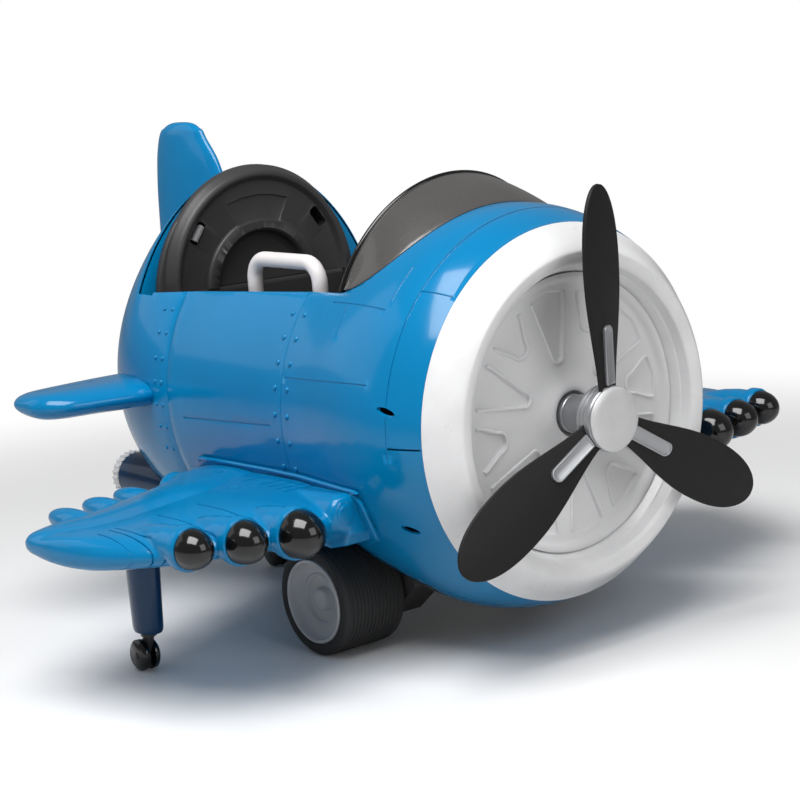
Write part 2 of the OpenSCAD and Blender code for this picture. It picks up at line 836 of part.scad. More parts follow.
// Satin domed cap at the front of the hub
module hub_cap() {
    depth = 7;
    color(silver) along_nose() translate([0, 0, cap_back]) rotate_extrude()
        polygon(concat(
            [[0, 0], [cap_r, 0]],
            [for (i = [0:curve_steps])
                let (a = 90 * i / curve_steps)
                [cap_r * pow(cos(a), 0.45), 2 + (depth - 2) * sin(a)]]
        ));
}

// Place of a blade: the first points straight up, and each is turned by its pitch
module blade_place(i) {
    translate([prop_x, 0, axis_z]) rotate([120 * i, 0, 0]) rotate([0, 0, blade_pitch]) children();
}

// Outline of a paddle blade: narrow at its root, widest past the middle, with a round tip
function blade_half(u) = blade_w / 2 *
    (root_share + (1 - root_share) * pow(sin(90 * min(1, u / 0.62)), 1.7)) *
    (u < 0.62 ? 1 : sqrt(max(0, 1 - pow((u - 0.62) / 0.38, 2.4))));

module blade(i) {
    root = 22;
    steps = 22;
    span = prop_r - root;
    side = [for (k = [0:steps]) let (u = 1 - pow(1 - k / steps, 1.5)) [blade_half(u), root + span * u]];
    back = [for (k = [steps - 1:-1:0]) [-side[k][0], side[k][1]]];
    color(black) blade_place(i)
        rotate([90, 0, 90]) linear_extrude(blade_t, center = true) polygon(concat(side, back));
}

module blade_1() { blade(0); }
module blade_2() { blade(1); }
module blade_3() { blade(2); }

// Silver bar on the front of each blade, from the collar outwards
module blade_braces() {
    color(silver) for (i = [0:blades - 1])
        blade_place(i) translate([blade_t / 2 + seat_gap / 3, 0, collar_r + 2])
            rotate([90, 0, 90]) linear_extrude(4) union() {
                translate([-brace_w / 2, 0]) square([brace_w, brace_len - brace_w / 2]);
                translate([0, brace_len - brace_w / 2]) circle(d = brace_w);
            }
}

// Foil of the wing: front and back edge, height and thickness at stations along its span
module wing_body() {
    tip_z = wing_z;
    skin([
        foil_ring(200, 268, -118, wing_z - 5, root_t),
        foil_ring(262, 276, -96, wing_z - 3, root_t - 1),
        foil_ring(300, 286, -60, wing_z, root_t - 4),
        foil_ring(pod_inner_y, 296, -30, wing_z + 2, root_t - 6),
        foil_ring(pod_middle_y, 284, 0, wing_z + 3, root_t - 13),
        foil_ring(pod_outer_y, 269, 18, wing_z + 3, root_t - 20),
        foil_ring(pod_outer_y + 25, 248, 18, wing_z + 2, root_t - 22),
        foil_ring(half_span - 38, 222, 18, tip_z, root_t - 22),
        foil_ring(half_span - 24, 192, 20, tip_z - 2, root_t - 23),
        foil_ring(half_span - 13, 160, 23, tip_z - 3, root_t - 27),
        foil_ring(half_span - 6, 130, 29, tip_z - 4, root_t - 34),
        foil_ring(half_span - 2, 104, 38, tip_z - 4, root_t - 42),
        foil_ring(half_span, 84, 48, tip_z - 4, root_t - 52)
    ]);
}

// Pod on the wing's leading edge: a short tube with a collar that runs out into the wing
module pod(y, r, nose, z) {
    translate([0, y, z]) rotate([0, 90, 0]) rotate_extrude()
        polygon([
            [0, nose - 110], [0.6 * r, nose - 96], [0.85 * r, nose - 66], [0.96 * r, nose - 40],
            [r - 1, nose - 16], [r + 2, nose - 14], [r + 2, nose - 2], [r - 1, nose], [0, nose]
        ]);
}

// Hump on the wing's trailing edge behind a pod
module hump(y, x, z) {
    translate([x, y, z]) rotate([0, 90, 0]) rotate_extrude($fn = 36)
        polygon([
            for (i = [0:2 * curve_steps])
                let (a = 180 * i / (2 * curve_steps))
                [hump_r * sin(a), -hump_run * cos(a)]
        ]);
}

// Fairing that carries the wing's root: a rounded ridge, a block against the barrel and a flange
module root_fairing() {
    rear = -105;
    front = 284;
    translate([rear - 6, fairing_y, fairing_z]) rotate([0, 90 - fairing_rise, 0]) rotate_extrude()
        polygon([
            [0, 0], [0.6 * fairing_r, 2], [0.9 * fairing_r, 7], [fairing_r, 14],
            [fairing_r, fairing_len - 10], [fairing_r - 3, fairing_len - 3], [fairing_r - 8, fairing_len],
            [0, fairing_len]
        ]);
    translate([0, fairing_y, 0]) rotate([90, 0, 0]) linear_extrude(fairing_y - 190)
        polygon([
            [rear, fairing_z - 16], [rear, fairing_z + 12], [rear + 12, fairing_z + fairing_r - 3],
            [front - 10, flange_z - 1], [front - 3, flange_z - 4], [front, flange_z - 10],
            [front, fairing_z - 6], [front - 8, fairing_z - 20], [front - 40, belly_z + 28]
        ]);
    intersection() {
        barrel(rear + 4, front + 14, -5);
        translate([0, barrel_r + 10, 0]) rotate([90, 0, 0]) linear_extrude(barrel_r - 130)
            polygon([
                [rear + 5, fairing_z], [rear + 12, flange_z - 9], [rear + 60, flange_z - 3],
                [front - 18, flange_z + 2], [front - 4, flange_z - 1], [front + 7, flange_z - 8],
                [front + 13, flange_z - 20], [front + 13, fairing_z - 8], [front + 6, fairing_z - 20],
                [front - 14, fairing_z - 28]
            ]);
    }
}

// Places of the three pods of a wing: distance, radius, nose and height, place and height of the hump
pods = [
    [pod_outer_y, pod_outer_r, 282, 209, 9, wing_z + 6],
    [pod_middle_y, pod_middle_r, 295, 206, -16, wing_z + 4],
    [pod_inner_y, pod_inner_r, 307, 203, -55, wing_z - 2]
];

// Left wing: a moulded foil with a root fairing against the barrel, three pods and their humps
module wing() {
    color(blue) difference() {
        union() {
            wing_body();
            root_fairing();
            for (p = pods) {
                pod(p[0], p[1], p[2], p[3]);
                hump(p[0], p[4], p[5]);
            }
        }
        barrel(-160, 340, -seat_gap);
        leg_strut(-seat_gap);
        wheel_room();
    }
}

module wing_left() { wing(); }
module wing_right() { other_side() wing(); }

// Black noses of a wing's pods, shaped like half eggs
module pod_noses() {
    color(black) for (p = pods)
        translate([p[2] + seat_gap, p[0], p[3]]) rotate([0, 90, 0]) rotate_extrude()
            polygon(concat(
                [[0, 0]],
                [for (i = [0:curve_steps])
                    let (a = 90 * i / curve_steps) [p[1] * cos(a), p[1] * 1.25 * sin(a)]]
            ));
}

module pod_noses_left() { pod_noses(); }
module pod_noses_right() { other_side() pod_noses(); }

// Leg of the left wing as a solid: a tapered oval strut, drawn in by a wall
module leg_strut(wall) {
    translate([leg_x, leg_y, leg_foot_z]) skin([
        for (s = [[0, 20, 14], [6, 22, 15], [leg_top_z - leg_foot_z - wall, 28, 21]])
            [for (i = [0:23]) [(s[1] - wall) * cos(15 * i), (wall - s[2]) * sin(15 * i), s[0]]]
    ]);
}

// Leg under the left wing, which goes up into a pocket in the wing
module wing_leg() {
    color(dark_blue) difference() {
        leg_strut(0);
        translate([leg_x, leg_y, leg_foot_z - 1]) cylinder(d = stem_d + 2 * run_fit, h = 41);
    }
}

module wing_leg_left() { wing_leg(); }
module wing_leg_right() { other_side() wing_leg(); }

// Yoke of a small caster: a stem in its socket, a flange and one web between two discs
module yoke(x, y, r, stem_top, flange_z) {
    color(black) translate([x, y, 0]) difference() {
        union() {
            translate([0, 0, flange_z - 4]) cylinder(d = stem_d, h = stem_top - flange_z + 4);
            translate([0, 0, flange_z - 4 - seat_gap]) cylinder(d = stem_d + 8, h = 4);
            translate([0, web_t / 2, 0]) rotate([90, 0, 0]) linear_extrude(web_t)
                polygon([
                    [-trail - r * 0.45, r], [-trail, r * 0.55], [-trail + r * 0.45, r],
                    [stem_d / 2 + 2, flange_z - 4 - seat_gap], [-stem_d / 2 - 2, flange_z - 4 - seat_gap]
                ]);
        }
        translate([-trail, 0, r]) rotate([90, 0, 0]) cylinder(d = pin_d + 2 * run_fit, h = 60, center = true);
    }
}

// Twin wheel of a small caster: two discs on one pin
module twin_wheel(x, y, r) {
    half = web_t / 2 + 0.6;
    color(black) translate([x - trail, y, r]) rotate([90, 0, 0]) rotate_extrude()
        polygon([
            [0, -half - disc_w - 1.5], [pin_d * 0.6, -half - disc_w - 1.5], [pin_d * 0.7, -half - disc_w],
            [r - 4, -half - disc_w], [r, -half - disc_w + 3], [r, -half], [pin_d / 2, -half],
            [pin_d / 2, half], [r, half], [r, half + disc_w - 3], [r - 4, half + disc_w],
            [pin_d * 0.7, half + disc_w], [pin_d * 0.6, half + disc_w + 1.5], [0, half + disc_w + 1.5]
        ]);
}

module wing_yoke_left() { yoke(leg_x, leg_y, wing_wheel_r, leg_foot_z + 30, leg_foot_z - 1); }
module wing_yoke_right() { other_side() wing_yoke_left(); }
module wing_wheel_left() { twin_wheel(leg_x, leg_y, wing_wheel_r); }
module wing_wheel_right() { other_side() wing_wheel_left(); }

function shell_bottom(x) = axis_z - (x > cone_x ? half_width(x) : keel_depth(x));

module rear_yoke() {
    low = shell_bottom(rear_caster_x);
    yoke(rear_caster_x, 0, wing_wheel_r, low + stem_rise, low - 3);
}
module rear_wheel() { twin_wheel(rear_caster_x, 0, wing_wheel_r); }

// Steel axle across the belly pan, fixed, on which both drive wheels turn
module drive_axle() {
    color(silver) translate([wheel_x, 0, wheel_z]) rotate([90, 0, 0])
        cylinder(d = axle_d, h = track - 36, center = true);
}

// Wide black tyre with fine grooves round its tread
module drive_tyre(side) {
    grooves = 12;
    pitch = (wheel_w - 22) / grooves;
    depth = 1.2;
    tread = [
        for (i = [0:grooves - 1])
            each [
                [wheel_r - depth, -wheel_w / 2 + 11 + pitch * i],
                [wheel_r - depth, -wheel_w / 2 + 11 + pitch * (i + 0.25)],
                [wheel_r, -wheel_w / 2 + 11 + pitch * (i + 0.35)],
                [wheel_r, -wheel_w / 2 + 11 + pitch * (i + 0.95)]
            ]
    ];
    color(black) translate([wheel_x, side * wheel_mid_y, wheel_z]) rotate([90, 0, 0])
        rotate_extrude($fn = 96)
            polygon(concat(
                [[hub_r + run_fit, -wheel_w / 2], [wheel_r - 5, -wheel_w / 2], [wheel_r, -wheel_w / 2 + 6]],
                tread,
                [[wheel_r, wheel_w / 2 - 6], [wheel_r - 5, wheel_w / 2], [hub_r + run_fit, wheel_w / 2]]
            ));
}

module drive_tyre_right() { drive_tyre(-1); }
module drive_tyre_left() { drive_tyre(1); }

// Grey dished hub: a rim, a deep dish with a centre boss, and a tube on the axle
module drive_hub(side) {
    half = wheel_w / 2;
    bore = axle_d / 2 + run_fit;
    color(silver) translate([wheel_x, side * wheel_mid_y, wheel_z]) rotate([-side * 90, 0, 0])
        rotate_extrude($fn = 96)
            polygon([
                [bore, -half + 4], [14, -half + 4], [14, half - 30], [hub_r - 5, half - 14],
                [hub_r - 5, -half + 2], [hub_r, -half + 2], [hub_r, half + 1], [hub_r - 6, half + 1],
                [hub_r - 11, half - 7], [hub_r - 24, half - 13], [16, half - 22], [14, half - 14],
                [0, half - 12], [0, half - 17], [bore, half - 17]
            ]);
}

module drive_hub_right() { drive_hub(-1); }
module drive_hub_left() { drive_hub(1); }

module gearbox_left() { gearbox_body(1); }
module gearbox_right() { gearbox_body(-1); }

// Gearbox of a side with its bearing sleeve, which reaches into the hollow of the hub
module gearbox_body(side) {
    mirror([0, side > 0 ? 0 : 1, 0]) color(black) difference() {
        union() {
            translate([0, gear_out_y, 0]) rotate([90, 0, 0])
                linear_extrude(gear_out_y - gear_in_y - seat_gap)
                    polygon([
                        [wheel_x - 44, wheel_z - 22], [wheel_x - 28, wheel_z - 36],
                        [wheel_x + 30, wheel_z - 36], [wheel_x + 84, wheel_z + 10],
                        [wheel_x + 84, belly_z - 16], [wheel_x + 60, belly_z],
                        [wheel_x - 44, belly_z]
                    ]);
            translate([wheel_x, gear_out_y - 1, wheel_z]) rotate([-90, 0, 0]) cylinder(r = 20, h = 5);
        }
        translate([wheel_x, 0, wheel_z])
            rotate([90, 0, 0]) cylinder(d = axle_d + 2 * run_fit, h = track, center = true);
    }
}

// Two drive motors that lie across the keel, one for each gearbox
module drive_motors() {
    len = gear_in_y - 4;
    color(silver) for (side = [-1, 1])
        translate([motor_x, side * (gear_in_y - len / 2), motor_z])
            rotate([90, 0, 0]) cylinder(d = motor_d, h = len - 1, center = true);
}

// Sealed battery on the floor of the tub, under the seat
module battery() {
    tab_h = 6;
    color("#3a3a3a") translate([battery_x, -battery_w / 2, tub_floor_z]) union() {
        cube([battery_len, battery_w, battery_h]);
        for (side = [-1, 1])
            translate([battery_len / 10, battery_w / 2 + side * battery_w * 0.3 - 4, battery_h])
                cube([5, 8, tab_h]);
    }
}

// Radio and motor control box beside the battery
module control_box() {
    color("#555555") translate([battery_x + 40, battery_w / 2 + 10, tub_floor_z])
        cube([control_len, control_w, control_w]);
}

// Small speaker behind the dashboard, with its cone in the panel's hole
module speaker() {
    r = speaker_d / 2 - seat_gap;
    back = dash_t + seat_gap;
    color(black) translate([dash_x, 0, speaker_z]) rotate([0, 90, 0]) rotate_extrude()
        polygon([
            [0, 3], [r - 7, 3], [r, 0], [r, back], [r + 5, back],
            [r + 5, back + 4], [r - 5, back + 16], [0, back + 16]
        ]);
}

// Fin on the tail's deck
module tail_fin() {
    rings = [
        [axis_z + 20, -286, -482, 1], [470, -278, -482, 1], [540, -288, -480, 0.94],
        [581, -306, -476, 0.88], [604, -319, -472, 0.84], [fin_top_z - 25, -340, -464, 0.76],
        [fin_top_z - 9, -356, -448, 0.62], [fin_top_z, -374, -424, 0.3]
    ];
    color(blue) difference() {
        skin([
            for (s = rings)
                [for (i = [0:19])
                    let (a = 18 * i)
                    [(s[1] + s[2]) / 2 + (s[1] - s[2]) / 2 * cos(a), -fin_t / 2 * s[3] * sin(a), s[0]]]
        ]);
        tail_cone(rear_seam_x, -2 * seat_gap);
    }
}

// Left stabiliser, with a collar at its root
module stabiliser() {
    color(blue) difference() {
        skin([
            foil_ring(40, -166, -345, axis_z + 3, stab_t + 4),
            foil_ring(262, -170, -338, axis_z + 4, stab_t + 3),
            foil_ring(264, -172, -336, axis_z + 5, stab_t),
            foil_ring(stab_span - 44, -188, -324, axis_z + 5, stab_t - 1),
            foil_ring(stab_span - 20, -198, -314, axis_z + 5, stab_t - 3),
            foil_ring(stab_span - 7, -210, -304, axis_z + 5, stab_t - 9),
            foil_ring(stab_span, -228, -288, axis_z + 5, stab_t - 22)
        ]);
        tail_cone(rear_seam_x, -2 * seat_gap);
    }
}

module stabiliser_left() { stabiliser(); }
module stabiliser_right() { other_side() stabiliser(); }

// Two nozzles under the tail, one on each side
module tail_nozzles() {
    color(dark_blue) difference() {
        for (side = [-1, 1])
            translate([nozzle_end_x, side * nozzle_y, nozzle_z]) rotate([0, 90, 0]) rotate_extrude()
                polygon([
                    [0, nozzle_lip], [nozzle_r, nozzle_lip], [nozzle_r, nozzle_len - 50],
                    [0.95 * nozzle_r, nozzle_len - 32], [0.8 * nozzle_r, nozzle_len - 15],
                    [0.5 * nozzle_r, nozzle_len - 3], [0, nozzle_len]
                ]);
        tail_cone(rear_seam_x, -2 * seat_gap);
    }
}

// White ribbed ring at the end of each nozzle
module nozzle_rings() {
    ribs = 24;
    color(white) for (side = [-1, 1])
        translate([nozzle_end_x, side * nozzle_y, nozzle_z]) rotate([0, 90, 0]) difference() {
            union() {
                cylinder(r = nozzle_r - 0.5, h = nozzle_lip - seat_gap);
                for (i = [0:ribs - 1])
                    rotate([0, 0, 360 * i / ribs]) translate([nozzle_r - 2, -1.5, 0])
                        cube([3.5, 3, nozzle_lip - seat_gap]);
            }
            translate([0, 0, -1]) cylinder(r = nozzle_r - 7, h = nozzle_lip - 5);
        }
}

nose_shell();
middle_shell();
tail_shell();
belly_pan();
cowl_ring();
engine_face();
windshield();
windshield_rim();
dashboard();
cockpit_tub();
seat_back();
seat_base();
harness_strap();
grab_handle_right();
grab_handle_left();
joystick_right();
joystick_left();
start_button();
horn_button();
light_switch();
propeller_motor();
motor_shaft();
hub_barrel();
hub_collar();
hub_cap();
blade_1();
blade_2();
blade_3();
blade_braces();
wing_right();
wing_left();
pod_noses_right();
pod_noses_left();
wing_leg_right();
wing_leg_left();
wing_yoke_right();
wing_yoke_left();
wing_wheel_right();
wing_wheel_left();
rear_yoke();
rear_wheel();
drive_axle();
drive_tyre_right();
drive_tyre_left();
drive_hub_right();
drive_hub_left();
gearbox_right();
gearbox_left();
drive_motors();
battery();
control_box();
speaker();
tail_fin();
stabiliser_right();
stabiliser_left();
tail_nozzles();
nozzle_rings();
handle_screws();
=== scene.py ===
"""Visual model of a battery ride-on toy airplane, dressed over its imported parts.

Sizes are millimetres in the toy's frame: +X to the nose, +Y to the rider's left, +Z up, and
z = 0 on the floor.
"""

import json
import logging
import math
from contextlib import contextmanager
from dataclasses import dataclass, field
from enum import Enum
from typing import Callable, Iterator, Sequence

import bmesh
import bpy
from mathutils import Matrix, Vector

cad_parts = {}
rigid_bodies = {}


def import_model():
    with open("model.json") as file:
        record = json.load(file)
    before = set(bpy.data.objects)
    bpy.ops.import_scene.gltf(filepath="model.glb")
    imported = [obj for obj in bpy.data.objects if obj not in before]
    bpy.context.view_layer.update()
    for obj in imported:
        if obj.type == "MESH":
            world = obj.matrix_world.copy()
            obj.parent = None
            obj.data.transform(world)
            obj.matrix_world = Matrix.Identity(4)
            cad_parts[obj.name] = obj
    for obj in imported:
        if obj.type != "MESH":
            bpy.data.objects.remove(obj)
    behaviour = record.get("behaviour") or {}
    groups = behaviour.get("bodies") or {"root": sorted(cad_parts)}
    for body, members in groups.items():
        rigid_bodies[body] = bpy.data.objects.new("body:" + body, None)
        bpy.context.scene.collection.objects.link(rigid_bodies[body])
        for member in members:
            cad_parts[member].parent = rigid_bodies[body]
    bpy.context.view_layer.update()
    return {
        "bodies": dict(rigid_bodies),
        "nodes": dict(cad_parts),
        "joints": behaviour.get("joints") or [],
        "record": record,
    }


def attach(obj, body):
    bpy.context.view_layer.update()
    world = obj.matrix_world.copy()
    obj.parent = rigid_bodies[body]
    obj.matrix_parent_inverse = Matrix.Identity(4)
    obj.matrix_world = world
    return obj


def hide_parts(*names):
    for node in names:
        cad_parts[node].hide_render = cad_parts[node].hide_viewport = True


log = logging.getLogger("airplane")

MM = 0.001
Point = Sequence[float]
Outline = Sequence[tuple[float, float]]

# Distance of a drive wheel's middle from the toy's, and radius and width of the room round it
WHEEL_Y = 187.5
WHEEL_ROOM = (80.0, 107.0)


class Axis(Enum):
    """Directions that a turned piece's own axis can take."""

    X = (0.0, 1.0, 0.0, math.pi / 2)
    Y = (1.0, 0.0, 0.0, -math.pi / 2)
    Z = (0.0, 0.0, 1.0, 0.0)

    def turn(self) -> Matrix:
        """The turn that brings +Z to this axis."""
        x, y, z, angle = self.value
        return Matrix.Rotation(angle, 4, Vector((x, y, z)))


class Side(Enum):
    """The toy's two sides, each with its sign of Y."""

    RIGHT = -1
    LEFT = 1

    @property
    def sign(self) -> int:
        """Sign of Y on this side."""
        return self.value


def smooth_step(u: float) -> float:
    """A soft rise from 0 at u = 0 to 1 at u = 1."""
    v = min(1.0, max(0.0, u))
    return v * v * (3 - 2 * v)


def flowing(rows: Sequence[Sequence[float]], steps: int) -> list[tuple[float, ...]]:
    """Rows of numbers with more rows between them, on a curve that flows through all of them.

    Args:
        rows: The given rows, each with the same count of numbers.
        steps: Steps from one given row to the next.

    Returns:
        The rows of the curve.
    """
    ends = [rows[0], *rows, rows[-1]]
    path = []
    for before, here, there, after in zip(ends, ends[1:], ends[2:], ends[3:]):
        for i in range(steps):
            t = i / steps
            path.append(tuple(
                0.5 * (2 * b + (c - a) * t + (2 * a - 5 * b + 4 * c - d) * t * t
                       + (3 * b - a - 3 * c + d) * t ** 3)
                for a, b, c, d in zip(before, here, there, after)))
    return path + [tuple(rows[-1])]


def metres(point: Point) -> Vector:
    """A point in millimetres as a vector in metres."""
    return Vector(point) * MM


def turned(point: Point, degrees: float, axis: str) -> Matrix:
    """A turn about an axis, and then a move to a point in millimetres."""
    return Matrix.Translation(metres(point)) @ Matrix.Rotation(math.radians(degrees), 4, axis)


def angles(sweep: float, steps: int) -> list[float]:
    """Even angles from 0 to the end of a sweep, in radians."""
    return [sweep * i / steps for i in range(steps + 1)]


def bezier(points: Outline, t: float) -> tuple[float, float]:
    """A point on a cubic curve with four control points."""
    weights = [(1 - t) ** 3, 3 * (1 - t) ** 2 * t, 3 * (1 - t) * t * t, t ** 3]
    return sum(w * p[0] for w, p in zip(weights, points)), sum(w * p[1] for w, p in zip(weights, points))


class Bench:
    """Modelling by Blender's own operators. All places and sizes go in as millimetres."""

    @staticmethod
    def clear() -> None:
        """Leaves edit mode and deselects everything."""
        if bpy.context.object and bpy.context.object.mode != "OBJECT":
            bpy.ops.object.mode_set(mode="OBJECT")
        bpy.ops.object.select_all(action="DESELECT")

    @staticmethod
    def hold(piece: bpy.types.Object) -> bpy.types.Object:
        """Makes a piece the only one selected, and the active one.

        Args:
            piece: The object to hold.

        Returns:
            The same object.
        """
        Bench.clear()
        piece.select_set(True)
        bpy.context.view_layer.objects.active = piece
        return piece

    @staticmethod
    @contextmanager
    def shaping(piece: bpy.types.Object, pick: Callable[[Vector], bool] | None = None) -> Iterator[None]:
        """Edit mode on a piece, with the vertices that a test picks selected, or all of them.

        Args:
            piece: The object to shape.
            pick: A test of a vertex's place in millimetres.
        """
        Bench.hold(piece)
        bpy.ops.object.mode_set(mode="EDIT")
        bpy.ops.mesh.select_mode(type="VERT")
        bpy.ops.mesh.select_all(action="SELECT")
        if pick:
            Bench.pick(piece, pick)
        yield
        bpy.ops.object.mode_set(mode="OBJECT")

    @staticmethod
    def pick(piece: bpy.types.Object, test: Callable[[Vector], bool], within: bool = False) -> None:
        """Selects the vertices whose place passes a test, in edit mode.

        Args:
            piece: The object in edit mode.
            test: A test of a vertex's place in millimetres.
            within: Whether only vertices that are selected already are tested.
        """
        mesh = bmesh.from_edit_mesh(piece.data)
        for vert in mesh.verts:
            vert.select = (vert.select or not within) and test(vert.co / MM)
        mesh.select_flush_mode()
        bmesh.update_edit_mesh(piece.data)

    @staticmethod
    def settle(piece: bpy.types.Object) -> bpy.types.Object:
        """Puts a piece's place, turn and scale into its mesh.

        Args:
            piece: The object to settle.

        Returns:
            The same object, at the origin.
        """
        Bench.hold(piece)
        bpy.ops.object.transform_apply(location=True, rotation=True, scale=True)
        return piece

    @staticmethod
    def trace(name: str, points: Sequence[Point], filled: bool = False) -> bpy.types.Object:
        """Draws a chain of edges by extruding one vertex from point to point.

        Args:
            name: Name of the new object.
            points: The chain's points.
            filled: Whether the chain is closed with a face.

        Returns:
            The new object.
        """
        Bench.clear()
        bpy.ops.mesh.primitive_plane_add(size=MM, location=metres(points[0]))
        piece = bpy.context.object
        piece.name = piece.data.name = name
        with Bench.shaping(piece):
            bpy.ops.mesh.merge(type="CENTER")
            for here, there in zip(points, points[1:]):
                Bench.extrude(metres(there) - metres(here))
            if filled:
                bpy.ops.mesh.select_all(action="SELECT")
                bpy.ops.mesh.edge_face_add()
        return Bench.settle(piece)

    @staticmethod
    def extrude(push: Vector) -> None:
        """Extrudes what is selected in edit mode by a vector in metres."""
        bpy.ops.mesh.extrude_region_move(TRANSFORM_OT_translate={"value": push})

    @staticmethod
    def clean(piece: bpy.types.Object, reach: float = 0.01) -> bpy.types.Object:
        """Merges doubles and turns all faces outwards.

        Args:
            piece: The object to clean.
            reach: Distance under which vertices are merged.

        Returns:
            The same object.
        """
        with Bench.shaping(piece):
            bpy.ops.mesh.remove_doubles(threshold=reach * MM)
            bpy.ops.mesh.normals_make_consistent(inside=False)
        return piece

    @staticmethod
    def lathe(name: str, outline: Outline, centre: Point, axis: Axis, steps: int = 96,
              sweep: float = 360.0, start: float = 0.0, closed: bool = False) -> bpy.types.Object:
        """Turns an outline of radius and height about an axis.

        Args:
            name: Name of the new object.
            outline: Pairs of radius and height along the axis.
            centre: A point on the axis, where the height is 0.
            axis: The axis's direction.
            steps: Steps of the turn.
            sweep: Angle of the turn in degrees.
            start: Angle at which the turn starts, in degrees.
            closed: Whether the outline's end is joined to its start.

        Returns:
            The new object.
        """
        rim = list(outline) + ([outline[0]] if closed else [])
        piece = Bench.trace(name, [(r, 0, t) for r, t in rim])
        with Bench.shaping(piece):
            bpy.ops.mesh.spin(steps=steps, angle=math.radians(sweep), center=(0, 0, 0), axis=(0, 0, -1))
        piece.matrix_world = (Matrix.Translation(metres(centre)) @ axis.turn()
                              @ Matrix.Rotation(math.radians(start), 4, "Z"))
        Bench.settle(piece)
        return Bench.clean(piece)

    @staticmethod
    def plate(name: str, points: Sequence[Point], push: Point) -> bpy.types.Object:
        """A flat plate: an outline filled with a face and extruded.

        Args:
            name: Name of the new object.
            points: The outline.
            push: The extrusion.

        Returns:
            The new object.
        """
        piece = Bench.trace(name, points, filled=True)
        with Bench.shaping(piece):
            Bench.extrude(metres(push))
        return Bench.clean(piece)

    @staticmethod
    def wire(name: str, points: Sequence[Point], radius: float, sides: int = 8) -> bpy.types.Object:
        """A round bead along a path.

        Args:
            name: Name of the new object.
            points: The path.
            radius: Radius of the bead.
            sides: Sides of its section, a multiple of four.

        Returns:
            The new object, closed at both ends.
        """
        piece = Bench.hold(Bench.trace(name, points))
        bpy.ops.object.convert(target="CURVE")
        curve = bpy.context.object.data
        curve.bevel_depth = radius * MM
        curve.bevel_resolution = sides // 4
        curve.use_fill_caps = True
        bpy.ops.object.convert(target="MESH")
        piece = bpy.context.object
        piece.data.name = name
        return Bench.shade(Bench.clean(Bench.settle(piece)), 60)

    @staticmethod
    def block(name: str, low: Point, high: Point) -> bpy.types.Object:
        """A box between two corners, as the start of a piece or a cutter.

        Args:
            name: Name of the new object.
            low: Lowest corner.
            high: Highest corner.

        Returns:
            The new object.
        """
        Bench.clear()
        middle = (metres(low) + metres(high)) / 2
        bpy.ops.mesh.primitive_cube_add(size=1, location=middle, scale=metres(high) - metres(low))
        piece = bpy.context.object
        piece.name = piece.data.name = name
        return Bench.settle(piece)

    @staticmethod
    def rod(name: str, centre: Point, radius: float, length: float, axis: Axis,
            sides: int = 64) -> bpy.types.Object:
        """A round bar, as the start of a piece or a cutter.

        Args:
            name: Name of the new object.
            centre: Its middle.
            radius: Its radius.
            length: Its length.
            axis: Its direction.
            sides: Sides of its section.

        Returns:
            The new object.
        """
        Bench.clear()
        bpy.ops.mesh.primitive_cylinder_add(vertices=sides, radius=radius * MM, depth=length * MM)
        piece = bpy.context.object
        piece.name = piece.data.name = name
        piece.matrix_world = Matrix.Translation(metres(centre)) @ axis.turn()
        return Bench.settle(piece)

    @staticmethod
    def finish_with(piece: bpy.types.Object, kind: str, **settings: object) -> bpy.types.Object:
        """Adds a modifier, sets it and applies it.

        Args:
            piece: The object.
            kind: The modifier's type.
            **settings: The modifier's settings.

        Returns:
            The same object.
        """
        Bench.hold(piece)
        modifier = piece.modifiers.new(kind.title(), kind)
        for key, value in settings.items():
            setattr(modifier, key, value)
        bpy.ops.object.modifier_apply(modifier=modifier.name)
        return piece

    @staticmethod
    def cut(piece: bpy.types.Object, cutter: bpy.types.Object, how: str = "DIFFERENCE",
            keep: bool = False) -> bpy.types.Object:
        """Cuts a piece with another, or joins or crosses them.

        Args:
            piece: The object that is cut.
            cutter: The object that cuts it.
            how: The Boolean's operation.
            keep: Whether the cutter stays.

        Returns:
            The piece.
        """
        Bench.finish_with(piece, "BOOLEAN", operation=how, solver="EXACT", object=cutter)
        if not keep:
            bpy.data.objects.remove(cutter)
        return piece

    @staticmethod
    def soften(piece: bpy.types.Object, width: float, segments: int = 2,
               angle: float = 35.0) -> bpy.types.Object:
        """Rounds a piece's sharp edges and shades the rest smooth.

        Args:
            piece: The object.
            width: Width of the rounding.
            segments: Its segments.
            angle: Edges sharper than this are rounded, in degrees.

        Returns:
            The same object.
        """
        if width:
            Bench.finish_with(piece, "BEVEL", width=width * MM, segments=segments, limit_method="ANGLE",
                              angle_limit=math.radians(angle), use_clamp_overlap=True,
                              miter_outer="MITER_ARC")
        return Bench.shade(piece, angle)

    @staticmethod
    def shade(piece: bpy.types.Object, angle: float = 35.0) -> bpy.types.Object:
        """Shades a piece smooth where its faces meet at less than an angle in degrees."""
        Bench.hold(piece)
        bpy.ops.object.shade_smooth_by_angle(angle=math.radians(angle))
        return piece

    @staticmethod
    def twin(piece: bpy.types.Object, name: str) -> bpy.types.Object:
        """A copy of a piece with its own mesh.

        Args:
            piece: The object to copy.
            name: The copy's name.

        Returns:
            The copy.
        """
        Bench.hold(piece)
        bpy.ops.object.duplicate(linked=False)
        copy = bpy.context.object
        copy.name = copy.data.name = name
        return copy

    @staticmethod
    def moved(piece: bpy.types.Object, place: Matrix) -> bpy.types.Object:
        """Moves a piece by a matrix in metres and settles it."""
        piece.matrix_world = place
        return Bench.settle(piece)

